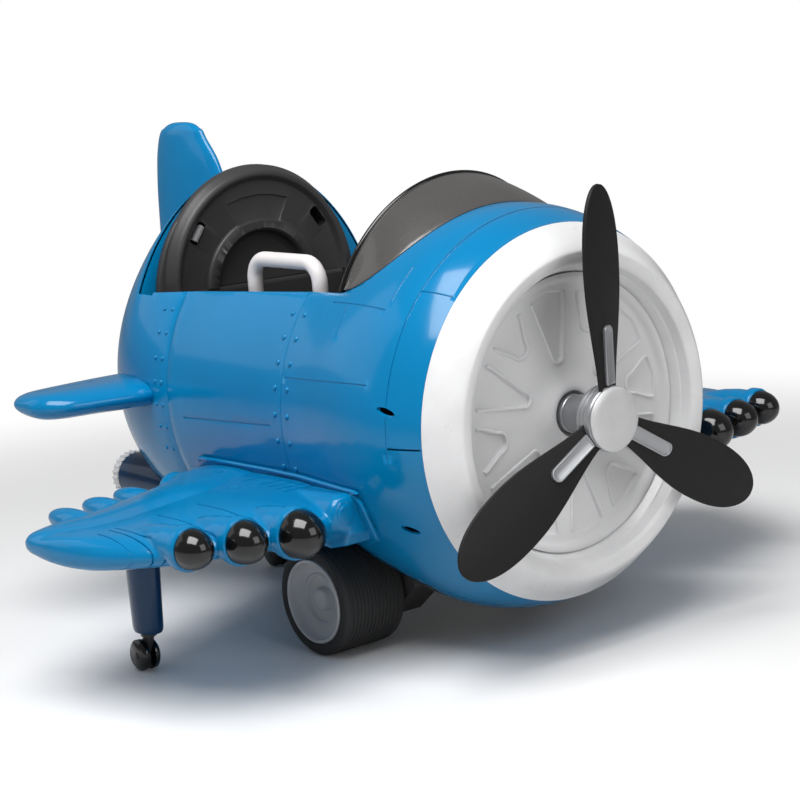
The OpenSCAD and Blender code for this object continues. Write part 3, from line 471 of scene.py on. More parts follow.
    @staticmethod
    def mirrored(piece: bpy.types.Object, name: str) -> bpy.types.Object:
        """A copy of a piece on the toy's other side, with its faces turned outwards.

        Args:
            piece: The object to mirror.
            name: The copy's name.

        Returns:
            The mirrored copy.
        """
        copy = Bench.twin(piece, name)
        Bench.moved(copy, Matrix.Scale(-1, 4, Vector((0, 1, 0))))
        with Bench.shaping(copy):
            bpy.ops.mesh.normals_make_consistent(inside=False)
        return copy

    @staticmethod
    def joined(name: str, pieces: Sequence[bpy.types.Object]) -> bpy.types.Object:
        """Joins pieces into one object.

        Args:
            name: The object's name.
            pieces: The pieces.

        Returns:
            The object.
        """
        Bench.hold(pieces[0])
        for piece in pieces:
            piece.select_set(True)
        bpy.ops.object.join()
        whole = bpy.context.object
        whole.name = whole.data.name = name
        return whole

    @staticmethod
    def cast(node: bpy.types.Object, name: str) -> bpy.types.Object:
        """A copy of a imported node's mesh, merged and with its flat faces made whole.

        Args:
            node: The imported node's object.
            name: The copy's name.

        Returns:
            The copy.
        """
        copy = Bench.twin(node, name)
        copy.hide_render = False
        copy.parent = None
        with Bench.shaping(copy):
            bpy.ops.mesh.customdata_custom_splitnormals_clear()
            bpy.ops.mesh.remove_doubles(threshold=0.005 * MM)
            bpy.ops.mesh.dissolve_limited(angle_limit=math.radians(0.5))
        return Bench.settle(copy)


@dataclass
class Loft:
    """A closed or open skin made by extruding a ring of edges and resizing it at each station.

    Attributes:
        name: Name of the piece.
        sides: Points round the ring, a multiple of four.
        along: The axis on which the rings follow each other.
    """

    name: str
    sides: int
    along: Axis

    def build(self, rings: Sequence[tuple[Point, float, float, float, float]], cap_start: bool = True,
              cap_end: bool = True) -> bpy.types.Object:
        """Builds the skin.

        Args:
            rings: For each ring its centre, its two half widths, and its height over and under
                the centre. The width runs along Y for a skin along X, and along X otherwise. The
                height runs along Z, or along Y for a skin along Z.
            cap_start: Whether the first ring is filled.
            cap_end: Whether the last ring is filled.

        Returns:
            The new object.
        """
        wide, high = {Axis.X: (1, 2), Axis.Y: (0, 2), Axis.Z: (0, 1)}[self.along]
        Bench.clear()
        bpy.ops.mesh.primitive_circle_add(vertices=self.sides, radius=MM,
                                          fill_type="NGON" if cap_start else "NOTHING")
        piece = bpy.context.object
        piece.name = piece.data.name = self.name
        Bench.moved(piece, Matrix.Translation(metres(rings[0][0])) @ self.along.turn())
        centre, sizes = rings[0][0], (1.0, 1.0, 1.0, 1.0)
        with Bench.shaping(piece):
            for place, *wanted in rings:
                if place != centre:
                    Bench.extrude(metres(place) - metres(centre))
                self._resize_halves(piece, place, wide, wanted[0] / sizes[0], wanted[1] / sizes[1])
                self._resize_halves(piece, place, high, wanted[2] / sizes[2], wanted[3] / sizes[3])
                centre, sizes = place, tuple(wanted)
            if cap_end:
                bpy.ops.mesh.edge_face_add()
        return Bench.clean(piece)

    @staticmethod
    def _resize_halves(piece: bpy.types.Object, centre: Point, axis: int, over: float,
                       under: float) -> None:
        """Resizes the selected ring along an axis about its centre, each half by a factor."""
        value = [1.0, 1.0, 1.0]
        if abs(over - under) < 1e-6:
            value[axis] = over
            bpy.ops.transform.resize(value=value, center_override=metres(centre))
            return
        mesh = bmesh.from_edit_mesh(piece.data)
        ring = [vert.index for vert in mesh.verts if vert.select]
        for sign, factor in ((1, over), (-1, under)):
            mesh = bmesh.from_edit_mesh(piece.data)
            mesh.verts.ensure_lookup_table()
            for vert in mesh.verts:
                vert.select = False
            for index in ring:
                vert = mesh.verts[index]
                vert.select = sign * (vert.co[axis] / MM - centre[axis]) > 1e-4
            mesh.select_flush_mode()
            bmesh.update_edit_mesh(piece.data)
            value[axis] = factor
            bpy.ops.transform.resize(value=value, center_override=metres(centre))
        mesh = bmesh.from_edit_mesh(piece.data)
        mesh.verts.ensure_lookup_table()
        for index in ring:
            mesh.verts[index].select = True
        mesh.select_flush_mode()
        bmesh.update_edit_mesh(piece.data)


class Value:
    """A shader socket on which Python's operators add Math nodes."""

    def __init__(self, graph: "Graph", socket: bpy.types.NodeSocket) -> None:
        """Wraps a socket of a graph."""
        self.graph = graph
        self.socket = socket

    def _math(self, operation: str, *terms: "Value | float") -> "Value":
        """Adds a Math node of an operation on these terms."""
        return self.graph.node("ShaderNodeMath", {"operation": operation}, dict(enumerate(terms)))

    def __add__(self, other: "Value | float") -> "Value":
        """Sum."""
        return self._math("ADD", self, other)

    def __sub__(self, other: "Value | float") -> "Value":
        """Difference."""
        return self._math("SUBTRACT", self, other)

    def __rsub__(self, other: float) -> "Value":
        """Difference from a number."""
        return self._math("SUBTRACT", other, self)

    def __mul__(self, other: "Value | float") -> "Value":
        """Product."""
        return self._math("MULTIPLY", self, other)

    __radd__ = __add__
    __rmul__ = __mul__

    def sine(self) -> "Value":
        """Sine."""
        return self._math("SINE", self)

    def most(self, other: "Value | float") -> "Value":
        """The larger of two values."""
        return self._math("MAXIMUM", self, other)

    def ramp(self, low: float, high: float) -> "Value":
        """A soft rise from 0 at one value to 1 at another.

        Args:
            low: Where the rise starts.
            high: Where it ends; it may be under low for a fall.

        Returns:
            The ramp's value.
        """
        return self.graph.node("ShaderNodeMapRange", {"interpolation_type": "SMOOTHSTEP"},
                               {"Value": self, "From Min": low, "From Max": high})


class Graph:
    """The node graph of one material."""

    def __init__(self, name: str) -> None:
        """Starts a material with an empty graph."""
        self.material = bpy.data.materials.new(name)
        self.material.use_nodes = True
        self.tree = self.material.node_tree
        self.tree.nodes.clear()

    def node(self, kind: str, settings: dict[str, object], sockets: dict[object, object],
             output: int | str = 0) -> Value:
        """Adds a node.

        Args:
            kind: The node's type.
            settings: Its settings, which are set first. A list under stops sets a ramp's colours.
            sockets: Values or links for its input sockets, by name or number.
            output: The output that is wanted.

        Returns:
            The wanted output.
        """
        node = self.tree.nodes.new(kind)
        for key, value in settings.items():
            if key == "stops":
                for stop, (place, colour) in zip(node.color_ramp.elements, value):
                    stop.position = place
                    stop.color = colour
            else:
                setattr(node, key, value)
        for key, value in sockets.items():
            if isinstance(value, Value):
                self.tree.links.new(value.socket, node.inputs[key])
            else:
                node.inputs[key].default_value = value
        return Value(self, node.outputs[output])

    def place(self) -> tuple[Value, Value, Value, Value]:
        """The place on the object in millimetres: the vector in metres, and x, y and z."""
        vector = self.node("ShaderNodeTexCoord", {}, {}, "Object")
        parts = [self.node("ShaderNodeSeparateXYZ", {}, {0: vector}, key) * (1 / MM) for key in "XYZ"]
        return (vector, *parts)

    def noise(self, vector: Value, size: float, detail: float = 3.0, stretch: Point = (1, 1, 1)) -> Value:
        """Noise whose lumps are about a size in millimetres.

        Args:
            vector: The place.
            size: Size of the lumps.
            detail: The noise's detail.
            stretch: Factors on the place along each axis.

        Returns:
            The noise, about 0.5 in the middle.
        """
        mapped = self.node("ShaderNodeMapping", {}, {"Vector": vector, "Scale": stretch})
        return self.node("ShaderNodeTexNoise", {},
                         {"Vector": mapped, "Scale": 1 / (size * MM), "Detail": detail},
                         "Fac")

    def mix(self, factor: Value, first: object, second: object) -> Value:
        """Mixes two colours by a factor."""
        return self.node("ShaderNodeMix", {"data_type": "RGBA"}, {0: factor, 6: first, 7: second}, 2)

    def bump(self, height: Value, depth: float, below: Value | None = None) -> Value:
        """A bumped normal.

        Args:
            height: Height from 0 to 1.
            depth: Depth in millimetres.
            below: A normal that this one lies on.

        Returns:
            The normal.
        """
        sockets = {"Height": height, "Distance": depth * MM, "Strength": 1.0}
        if below:
            sockets["Normal"] = below
        return self.node("ShaderNodeBump", {}, sockets)

    def surface(self, **sockets: object) -> bpy.types.Material:
        """Ends the graph in a Principled shader.

        Args:
            **sockets: The shader's sockets, with underscores for spaces.

        Returns:
            The material.
        """
        named = {key.replace("_", " "): value for key, value in sockets.items()}
        shader = self.node("ShaderNodeBsdfPrincipled", {}, named)
        self.node_output(shader)
        return self.material

    def node_output(self, shader: Value) -> None:
        """Links a shader to the material's output."""
        out = self.tree.nodes.new("ShaderNodeOutputMaterial")
        self.tree.links.new(shader.socket, out.inputs["Surface"])


def paint(red: float, green: float, blue: float) -> tuple[float, float, float, float]:
    """A colour from screen values 0 to 255, as linear light."""
    def linear(value: float) -> float:
        """One channel as linear light."""
        v = value / 255
        return v / 12.92 if v <= 0.04045 else ((v + 0.055) / 1.055) ** 2.4
    return (linear(red), linear(green), linear(blue), 1.0)


def darker(colour: Sequence[float], share: float) -> tuple[float, ...]:
    """A colour with its light scaled by a share."""
    return (*(c * share for c in colour[:3]), 1.0)


@dataclass(frozen=True)
class Moulding:
    """Moulded plastic: a colour with faint flow marks, a skin of gloss and, where wanted, a grain.

    Attributes:
        name: The material's name.
        colour: Its colour as linear light.
        roughness: Roughness of its skin.
        gloss: Weight of its clear gloss.
        grain: Depth of its grain in millimetres.
        grain_size: Size of the grain in millimetres.
        dust: How far dust dulls the skin, in patches that follow the flow noise.
        shine: Strength of its reflections.
    """

    name: str
    colour: tuple[float, ...]
    roughness: float = 0.3
    gloss: float = 0.0
    grain: float = 0.0
    grain_size: float = 1.2
    dust: float = 0.02
    shine: float = 0.5

    def make(self) -> bpy.types.Material:
        """Builds the material."""
        graph = Graph(self.name)
        vector, *_ = graph.place()
        flow = graph.noise(vector, 60, 4)
        colour = graph.mix(flow.ramp(0.3, 0.7), darker(self.colour, 0.95), darker(self.colour, 1.04))
        fine = graph.noise(vector, 9, 5)
        roughness = (fine - 0.5) * 0.08 + self.roughness + flow * self.dust
        normal = graph.bump(graph.noise(vector, self.grain_size if self.grain else 14, 2),
                            self.grain if self.grain else 0.02)
        return graph.surface(Base_Color=colour, Roughness=roughness, Specular_IOR_Level=self.shine,
                             Coat_Weight=self.gloss, Coat_Roughness=0.06, Normal=normal)


@dataclass(frozen=True)
class HullPaint:
    """Glossy blue of the moulded shells.

    Attributes:
        name: The material's name.
        colour: Its colour.
    """

    name: str
    colour: tuple[float, ...]

    def make(self) -> bpy.types.Material:
        """Builds the material."""
        graph = Graph(self.name)
        vector, *_ = graph.place()
        flow = graph.noise(vector, 120, 3)
        colour = graph.mix(flow.ramp(0.3, 0.7), darker(self.colour, 0.96), darker(self.colour, 1.03))
        roughness = (graph.noise(vector, 12, 4) - 0.5) * 0.05 + 0.16
        normal = graph.bump(graph.noise(vector, 18, 2), 0.03)
        return graph.surface(Base_Color=colour, Roughness=roughness, Specular_IOR_Level=0.3,
                             Coat_Weight=0.22, Coat_Roughness=0.05, Normal=normal)


@dataclass(frozen=True)
class Metal:
    """Metal or silver paint with fine turned or brushed lines.

    Attributes:
        name: The material's name.
        colour: Its colour.
        roughness: Its roughness.
        metallic: Its share of metal.
        stretch: Factors that draw the lines out along an axis.
    """

    name: str
    colour: tuple[float, ...]
    roughness: float = 0.32
    metallic: float = 0.9
    stretch: tuple[float, float, float] = (1, 1, 1)

    def make(self) -> bpy.types.Material:
        """Builds the material."""
        graph = Graph(self.name)
        vector, *_ = graph.place()
        lines = graph.noise(vector, 1.5, 4, self.stretch)
        cloud = graph.noise(vector, 30, 3)
        colour = graph.mix(cloud.ramp(0.3, 0.7), darker(self.colour, 0.93), self.colour)
        return graph.surface(Base_Color=colour, Roughness=(lines - 0.5) * 0.15 + self.roughness,
                             Metallic=self.metallic, Normal=graph.bump(lines, 0.02))


@dataclass(frozen=True)
class Tread:
    """Black rubber or foam of the tyres, dull and a little dusty where it rolls.

    Attributes:
        name: The material's name.
        colour: Its colour.
    """

    name: str
    colour: tuple[float, ...]

    def make(self) -> bpy.types.Material:
        """Builds the material."""
        graph = Graph(self.name)
        vector, *_ = graph.place()
        dust = graph.noise(vector, 16, 6).ramp(0.45, 0.8)
        colour = graph.mix(dust * 0.25, self.colour, paint(70, 68, 66))
        pores = graph.noise(vector, 0.9, 2)
        return graph.surface(Base_Color=colour, Roughness=dust * 0.2 + 0.55, Specular_IOR_Level=0.16,
                             Normal=graph.bump(pores, 0.05))


@dataclass(frozen=True)
class Webbing:
    """Woven strap: ribs across it and a fine weave, with painted shade in the weave's low furrows.

    Attributes:
        name: The material's name.
        colour: Its colour.
    """

    name: str
    colour: tuple[float, ...]

    def make(self) -> bpy.types.Material:
        """Builds the material."""
        graph = Graph(self.name)
        _, _, y, z = graph.place()
        ribs = ((y + z) * 4.2).sine() * 0.5 + 0.5
        threads = ((y - z) * 6.0).sine() * 0.5 + 0.5
        weave = ribs * 0.6 + threads * 0.4
        # The colour is 40% darker where the weave lies low: painted shade in its furrows, where the bump
        # also sinks.
        colour = graph.mix(weave, darker(self.colour, 0.6), self.colour)
        return graph.surface(Base_Color=colour, Roughness=weave * 0.1 + 0.75,
                             Normal=graph.bump(weave, 0.25))


class Finish(Enum):
    """Finishes of the toy, made once and shared."""

    HULL = HullPaint("hull_blue", paint(0, 122, 176))
    WING = HullPaint("wing_blue", paint(0, 122, 176))
    LEG = HullPaint("leg_blue", paint(0, 54, 92))
    WHITE = Moulding("cowl_white", paint(230, 230, 231), 0.28, 0.25)
    HANDLE = Moulding("handle_white", paint(224, 220, 220), 0.35, 0.1)
    FACE = Moulding("face_grey", paint(212, 209, 210), 0.38, 0.1)
    HOOD = Moulding("hood_grey", paint(76, 74, 73), 0.26, 0.4)
    BLACK = Moulding("liner_black", paint(56, 55, 56), 0.4, grain=0.05, shine=0.45)
    BLADE = Moulding("blade_black", paint(26, 25, 25), 0.5, grain=0.03, shine=0.25)
    POLISHED = Moulding("nose_black", paint(12, 12, 13), 0.12, 0.3)
    GREEN = Moulding("button_green", paint(60, 160, 70), 0.3, 0.3)
    RED = Moulding("button_red", paint(178, 50, 44), 0.3, 0.3)
    SILVER = Metal("silver_paint", paint(176, 178, 181), 0.34, 0.75)
    SATIN = Metal("cap_satin", paint(216, 216, 217), 0.42, 0.35)
    STEEL = Metal("plain_steel", paint(170, 172, 175), 0.3, 1.0)
    HUB = Moulding("hub_grey", paint(122, 125, 132), 0.26, 0.3)
    TYRE = Tread("tyre_black", paint(12, 12, 12))
    STRAP = Webbing("strap_grey", paint(150, 150, 152))

    def material(self) -> bpy.types.Material:
        """The finish's material, built when it is first asked for."""
        return bpy.data.materials.get(self.value.name) or self.value.make()


def dress(piece: bpy.types.Object, finish: Finish, body: str, *nodes: str) -> bpy.types.Object:
    """Gives a piece its finish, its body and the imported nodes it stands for.

    Args:
        piece: The object.
        finish: Its finish.
        body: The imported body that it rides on.
        *nodes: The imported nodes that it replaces.

    Returns:
        The same object.
    """
    Bench.finish_with(piece, "TRIANGULATE", min_vertices=5)
    piece.data.materials.clear()
    piece.data.materials.append(finish.material())
    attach(piece, body)
    if nodes:
        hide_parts(*nodes)
    log.info("%s: %d faces, on %s", piece.name, len(piece.data.polygons), body)
    return piece


@dataclass
class Hull:
    """The three blue shells: a barrel with a swollen front and a closing tail.

    Attributes:
        nose: Place of the front edge.
        tail: Distance back to the tail's tip.
        axis: Height of the centre line.
        barrel: Radius of the plain part.
        bulge: Swelling behind the nose.
        lip: Radius of the front edge.
        wall: Thickness of the shells.
        seams: Places of the two seams.
        seat: Place of the seat back.
        arch: Radius of the arches.
        arch_z: Height of the arches' centre.
        belly_z: Height of the belly opening's edge.
        wheel: Place and height of the drive axle.
        sides: Points round a section.
        swell_back: Distance from the front edge back to the widest place.
        swell_run: Distance over which the swelling fades out behind it.
        cone: Place where the tail starts to close.
        rise: Distance in front of that place where the deck starts to rise.
        powers: How the sides, the deck and the keel close towards the tail's tip.
        tip_power: How blunt the tip is.
        gap: Half of the gap at a seam.
    """

    nose: float = 400.0
    tail: float = 485.0
    axis: float = 296.5
    barrel: float = 233.0
    bulge: float = 21.0
    lip: float = 232.0
    wall: float = 4.0
    seams: tuple[float, float] = (127.0, -135.0)
    seat: float = -240.0
    arch: float = 183.0
    arch_z: float = 406.0
    belly_z: float = 128.0
    wheel: tuple[float, float] = (166.0, 70.0)
    sides: int = 128
    swell_back: float = 90.0
    swell_run: float = 210.0
    cone: float = -165.0
    rise: float = 60.0
    powers: tuple[float, float, float] = (2.24, 1.15, 2.6)
    tip_power: float = 1.3
    gap: float = 0.35

    def closing(self, x: float, start: float, power: float) -> float:
        """Share of a size that is left as the tail closes."""
        u = max(0.0, (start - x) / (start + self.tail))
        return max(0.0, 1 - u ** power) ** (1 / self.tip_power)

    def half_width(self, x: float) -> float:
        """Half width of the hull at a place along it."""
        bulge_x = self.nose - self.swell_back
        if x > bulge_x:
            full = self.barrel + self.bulge
            return full - (full - self.lip) * ((x - bulge_x) / self.swell_back) ** 2
        if x > bulge_x - self.swell_run:
            fade = math.cos(math.pi / 2 * (bulge_x - x) / self.swell_run) ** 2
            return self.barrel + self.bulge * fade
        return self.barrel * (self.closing(x, self.cone, self.powers[0]) if x < self.cone else 1)

    def deck(self, x: float) -> float:
        """Height of the hull over its centre line."""
        high = self.arch_z + self.arch - self.axis
        if x > self.seat:
            start = self.cone + self.rise
            risen = smooth_step((start - x) / (start - self.seat))
            return self.half_width(x) + (high - self.barrel) * risen
        return high * self.closing(x, self.seat, self.powers[1])

    def keel(self, x: float) -> float:
        """Depth of the hull under its centre line."""
        if x > self.cone:
            return self.half_width(x)
        return self.barrel * self.closing(x, self.cone, self.powers[2])

    def ring(self, x: float, inset: float = 0.0) -> tuple[Point, float, float, float, float]:
        """The hull's section at a place, for a loft."""
        half = max(0.6, self.half_width(x) - inset)
        return ((x, 0, self.axis), half, half, max(0.6, self.deck(x) - inset),
                max(0.6, self.keel(x) - inset))

    def stations(self) -> list[float]:
        """Places of the sections from nose to tail, close together where the hull turns."""
        front = [self.nose - 7.5 * i for i in range(33)]
        middle = [150 - 15 * i for i in range(20)]
        rear = [-149 - (self.tail - 149.4) * math.sin(math.pi / 2 * i / 40) for i in range(1, 41)]
        return front + middle + rear

    def edge(self, t: float) -> tuple[float, float]:
        """A point on the cockpit's edge between the sill and the brow."""
        return bezier([(190, 455), (245, 457), (300, 505), (302, 560.5)], t)

    def build(self) -> None:
        """Builds the whole skin, cuts its openings and splits it at the seams."""
        skin = Loft("hull", self.sides, Axis.X).build([self.ring(x) for x in self.stations()],
                                                      cap_start=False)
        Bench.finish_with(skin, "SOLIDIFY", thickness=self.wall * MM, offset=-1.0)
        faces = [self.ring(self.seat, 1.5), self.ring(self.seat - 8, 1.5)]
        slab = Loft("bulkhead", self.sides, Axis.X).build(faces)
        middle = (self.seat - 4, 0, self.arch_z)
        Bench.cut(slab, Bench.rod("arch_hole", middle, self.arch - 12, 40, Axis.X, 128))
        Bench.cut(slab, Bench.block("below_sill", (self.seat - 60, -300, 0), (self.seat + 60, 300, 392)))
        for cutter in self.cutters() + self.panel_lines():
            Bench.cut(skin, cutter)
        nose, aft = self.split(skin, self.seams[0], "nose_skin", "aft")
        middle, tail = self.split(aft, self.seams[1], "middle_skin", "tail_skin")
        tail = Bench.joined("tail_skin", [tail, slab])
        for piece, node in ((nose, "nose_shell"), (middle, "middle_shell"), (tail, "tail_shell")):
            Bench.soften(piece, 1.0, 2, 50)
            dress(piece, Finish.HULL, "airframe", node)

    def cutters(self) -> list[bpy.types.Object]:
        """The solids that open the cockpit, the belly, the wheel arches and the small slots."""
        path = [self.edge(i / 24) for i in range(25)]
        sill = [(-234.0, 434.5)] + path + [(302.0, 800.0), (-234.0, 800.0)]
        cuts = [
            Bench.plate("cockpit_room", [(x, -320, z) for x, z in sill], (0, 640, 0)),
            Bench.block("seat_room", (self.seat, -320, 432), (-200, 320, 800)),
        ]
        wx, wz = self.wheel
        belly = [(-60, -10), (-60, self.belly_z), (wx + 20, self.belly_z), (wx + 80, self.belly_z - 8),
                 (304, self.belly_z - 32), (312, -10)]
        cuts.append(Bench.plate("belly_room", [(x, -320, z) for x, z in belly], (0, 640, 0)))
        for side in Side:
            cuts.append(Bench.rod("arch_room", (wx, side.sign * WHEEL_Y, wz), *WHEEL_ROOM, Axis.Y, 96))
            for x, y, z in ((355, 248, 334), (360, 226, 188)):
                cuts.append(self.scoop(x, side.sign * y, z))
        return cuts

    def surface(self, x: float, angle: float, side: Side) -> Point:
        """A point of the skin at an angle over the horizontal, in degrees."""
        up, out = math.sin(math.radians(angle)), math.cos(math.radians(angle))
        reach = self.deck(x) if up > 0 else self.keel(x)
        return x, side.sign * self.half_width(x) * out, self.axis + reach * up

    def panel_lines(self) -> list[bpy.types.Object]:
        """Thin beads that press the panel lines into both sides, in rows of place and angle."""
        lines = [[(355, a) for a in range(-5, 91, 5)], [(235, a) for a in (26.7, 30, 33.4, 36.8)],
                 [(320, a) for a in (38.7, 42.6, 46.5, 50.4)],
                 [(x, 38.1 - 0.0167 * (x - 196)) for x in range(196, 317, 12)],
                 [(x, 13.7 + 0.0069 * (x - 132)) for x in range(132, 322, 21)],
                 [(x, -4.6 + 0.013 * (x + 99)) for x in range(-99, 121, 20)],
                 [(x, 43.6 + 0.027 * (x - 355)) for x in range(355, 397, 8)],
                 [(x, -1.3) for x in range(356, 399, 7)]]
        return [Bench.wire("panel_line", [self.surface(x, a, side) for x, a in line], 1.1)
                for line in lines for side in Side]

    @staticmethod
    def scoop(x: float, y: float, z: float) -> bpy.types.Object:
        """The almond-shaped solid that sinks a small air scoop into the side."""
        Bench.clear()
        bpy.ops.mesh.primitive_uv_sphere_add(segments=32, ring_count=16, radius=MM)
        piece = bpy.context.object
        with Bench.shaping(piece):
            bpy.ops.transform.resize(value=(14.5, 11, 4.6), center_override=(0, 0, 0))
        return Bench.moved(piece, turned((x, y, z), 14, "Y"))

    def split(self, piece: bpy.types.Object, x: float, front: str, back: str
              ) -> tuple[bpy.types.Object, bpy.types.Object]:
        """Splits a piece at a plane across the toy, with a fine gap.

        Args:
            piece: The object to split.
            x: Place of the plane.
            front: Name of the front part.
            back: Name of the rear part.

        Returns:
            The front and the rear part.
        """
        rear = Bench.twin(piece, back)
        piece.name = piece.data.name = front
        for part, place, flip in ((piece, x + self.gap, True), (rear, x - self.gap, False)):
            with Bench.shaping(part):
                bpy.ops.mesh.bisect(plane_co=metres((place, 0, 0)), plane_no=(1, 0, 0), use_fill=True,
                                    clear_inner=flip, clear_outer=not flip)
        return piece, rear


@dataclass
class Rivets:
    """Domed rivets and small studs that stand on the shells along the seams.

    Attributes:
        hull: The hull that they stand on.
        rows: Their heights at the front seam.
        aft_rows: Their heights behind the rear seam.
        radius: Radius of a rivet.
        aft_radius: Radius of a rivet behind the rear seam.
        columns: Distances of the columns from the front seam.
        aft_columns: Distances of the columns from the rear seam.
    """

    hull: Hull
    rows: tuple[float, ...] = (427, 399, 369, 338, 304, 270, 236)
    aft_rows: tuple[float, ...] = (417, 387, 353, 321, 290, 259, 228)
    radius: float = 3.9
    aft_radius: float = 3.3
    columns: tuple[float, ...] = (-14, 14)
    aft_columns: tuple[float, ...] = (-30, -14)

    def dome(self, name: str, radius: float) -> bpy.types.Object:
        """One rivet head, lying at the origin with its dome towards +Z."""
        Bench.clear()
        bpy.ops.mesh.primitive_uv_sphere_add(segments=12, ring_count=6, radius=radius * MM)
        piece = bpy.context.object
        piece.name = piece.data.name = name
        with Bench.shaping(piece):
            bpy.ops.mesh.bisect(plane_co=(0, 0, -0.0002), plane_no=(0, 0, 1), use_fill=True,
                                clear_inner=True)
            bpy.ops.mesh.select_all(action="SELECT")
            bpy.ops.transform.resize(value=(1, 1, 0.62), center_override=(0, 0, 0))
        return Bench.settle(piece)

    def row(self, name: str, places: Sequence[tuple[float, float]], radius: float) -> None:
        """Sets rivets at places of X and Z on both sides and joins them.

        Args:
            name: Name of the joined piece.
            places: Pairs of X and Z.
            radius: Radius of a rivet.
        """
        seed = self.dome(name + "_seed", radius)
        heads = []
        for side in Side:
            for x, z in places:
                wide, up = self.hull.half_width(x), z - self.hull.axis
                high = self.hull.deck(x) if up > 0 else self.hull.keel(x)
                y = wide * math.sqrt(max(0.0, 1 - (up / high) ** 2))
                normal = Vector((0, side.sign * y / wide ** 2, up / high ** 2)).normalized()
                head = Bench.twin(seed, name)
                Bench.moved(head, Matrix.Translation(metres((x, side.sign * y, z)))
                            @ normal.to_track_quat("Z", "Y").to_matrix().to_4x4())
                heads.append(head)
        bpy.data.objects.remove(seed)
        piece = Bench.shade(Bench.joined(name, heads), 50)
        dress(piece, Finish.WING, "airframe")

    def build(self) -> None:
        """Builds the rivets of both seams."""
        front, rear = self.hull.seams
        self.row("front_seam_rivets", [(front + dx, z) for z in self.rows for dx in self.columns],
                 self.radius)
        self.row("rear_seam_rivets", [(rear + dx, z) for z in self.aft_rows for dx in self.aft_columns],
                 self.aft_radius)


@dataclass
class Cowl:
    """White ring and the pressed engine face behind the propeller.

    Attributes:
        hull: The hull in front of which it stands.
        depth: Depth of the ring.
        opening: Radius of the opening.
        cone: How much wider the opening is at its front.
        crown: Width of the rounding round the opening.
        plate: Place of the engine face.
        pockets: Pockets in the engine face.
        long_pocket: Radius at which a long pocket starts.
        short_pocket: Radius at which a short pocket starts.
        margin: Distance from the opening to the pockets' outer ends.
        first_turn: Turn of the first pocket in degrees.
    """

    hull: Hull
    depth: float = 37.0
    opening: float = 172.0
    cone: float = 11.0
    crown: float = 16.0
    plate: float = 400.0
    pockets: int = 12
    long_pocket: float = 66.0
    short_pocket: float = 104.0
    margin: float = 20.3
    first_turn: float = 9.0

    def ring(self) -> None:
        """The ring: a broad conical face that rolls over into a conical opening with a step."""
        nose, lip = self.hull.nose, self.hull.lip
        front, edge = nose + self.depth, self.opening + self.cone
        crown = edge + self.crown
        bend = [(lip, nose + 0.3), (lip - 8, nose + 8), (crown + 10, front - 4), (crown, front)]
        outer = [bezier(bend, i / 20) for i in range(21)]
        inner = [(crown + self.crown * math.cos(a), front - 6 + 6 * math.sin(a))
                 for a in (math.pi / 2 * (1 + i / 14) for i in range(1, 15))]
        wall = [(edge - 3.4, nose + 20), (edge - 4.6, nose + 19.4), (edge - 5.6, nose + 18),
                (edge - 9.2, nose + 7), (self.opening + 0.4, nose + 5), (self.opening, nose + 2),
                (self.opening, nose + 0.3)]
        back = [(self.opening + 4, nose + 0.3), (edge + 4, front - 10), (crown, front - 8),
                (lip - 12, nose + 8), (lip - 8, nose + 0.3)]
        piece = Bench.lathe("cowl_rim", outer + inner + wall + back, (0, 0, self.hull.axis), Axis.X, 160,
                            closed=True)
        dress(Bench.soften(piece, 0, angle=38), Finish.WHITE, "airframe", "cowl_ring")

    def pocket(self, near: float, grow: float = 0.0) -> list[tuple[float, float]]:
        """Half of a pocket's outline from its nose outwards, as radius and offset.

        Args:
            near: Radius of its nose.
            grow: How far the outline is pushed outwards.

        Returns:
            The points on one side.
        """
        nose, far = near * 0.11, self.opening - self.margin
        arc = [(near + nose - (nose + grow) * math.cos(a), (nose + grow) * math.sin(a))
               for a in angles(math.pi / 2, 10)]
        return arc + [(far - 12, far * 0.17 - 1 + grow), (far - 6, far * 0.17 + grow)]

    def face(self) -> None:
        """The engine face: a dished plate with sunk pockets, each inside a raised bead."""
        x, rim, axis = self.plate, self.opening - 0.5, self.hull.axis
        outline = [(14, x - 4), (rim, x - 4), (rim, x + 8), (rim - 4, x + 8), (rim - 6.5, x + 7),
                   (rim - 9, x + 3.4), (rim - 11.5, x + 0.8), (rim - 14, x), (66, x), (58, x + 0.5),
                   (51, x + 2), (44, x + 5), (38, x + 8.6), (34.5, x + 10.4), (31, x + 11),
                   (28.6, x + 10.4), (28, x + 9), (28, x - 1.6), (14, x - 1.6)]
        piece = Bench.lathe("engine_plate", outline, (0, 0, axis), Axis.X, 128, closed=True)
        beads = []
        for i in range(self.pockets):
            near = self.short_pocket if i % 2 == 0 else self.long_pocket
            turn = turned((0, 0, axis), 360 / self.pockets * i + self.first_turn, "X")
            side = self.pocket(near, -1.2)
            far = self.opening - self.margin
            rim_points = side + [(far, 0)] + [(u, -v) for u, v in reversed(side[1:])]
            floor = Bench.plate("pocket", [(x - 3.2, u, v) for u, v in rim_points], (6.4, 0, 0))
            with Bench.shaping(floor, lambda co: co.x > x + 1):
                bpy.ops.transform.resize(value=(1, 1.12, 1.3),
                                         center_override=metres((0, (near + far) / 2, 0)))
            Bench.cut(piece, Bench.moved(floor, turn))
            half = self.pocket(near, 1.6)
            path = [(x + 0.3, u, v) for u, v in reversed(half)] + [(x + 0.3, u, -v) for u, v in half[1:]]
            beads.append(Bench.moved(Bench.wire("bead", path, 2.1), turn))
        Bench.soften(piece, 0.6, 2, 40)
        dress(Bench.joined("engine_plate", [piece, *beads]), Finish.FACE, "airframe", "engine_face")

    def build(self) -> None:
        """Builds the ring and the face."""
        self.ring()
        self.face()


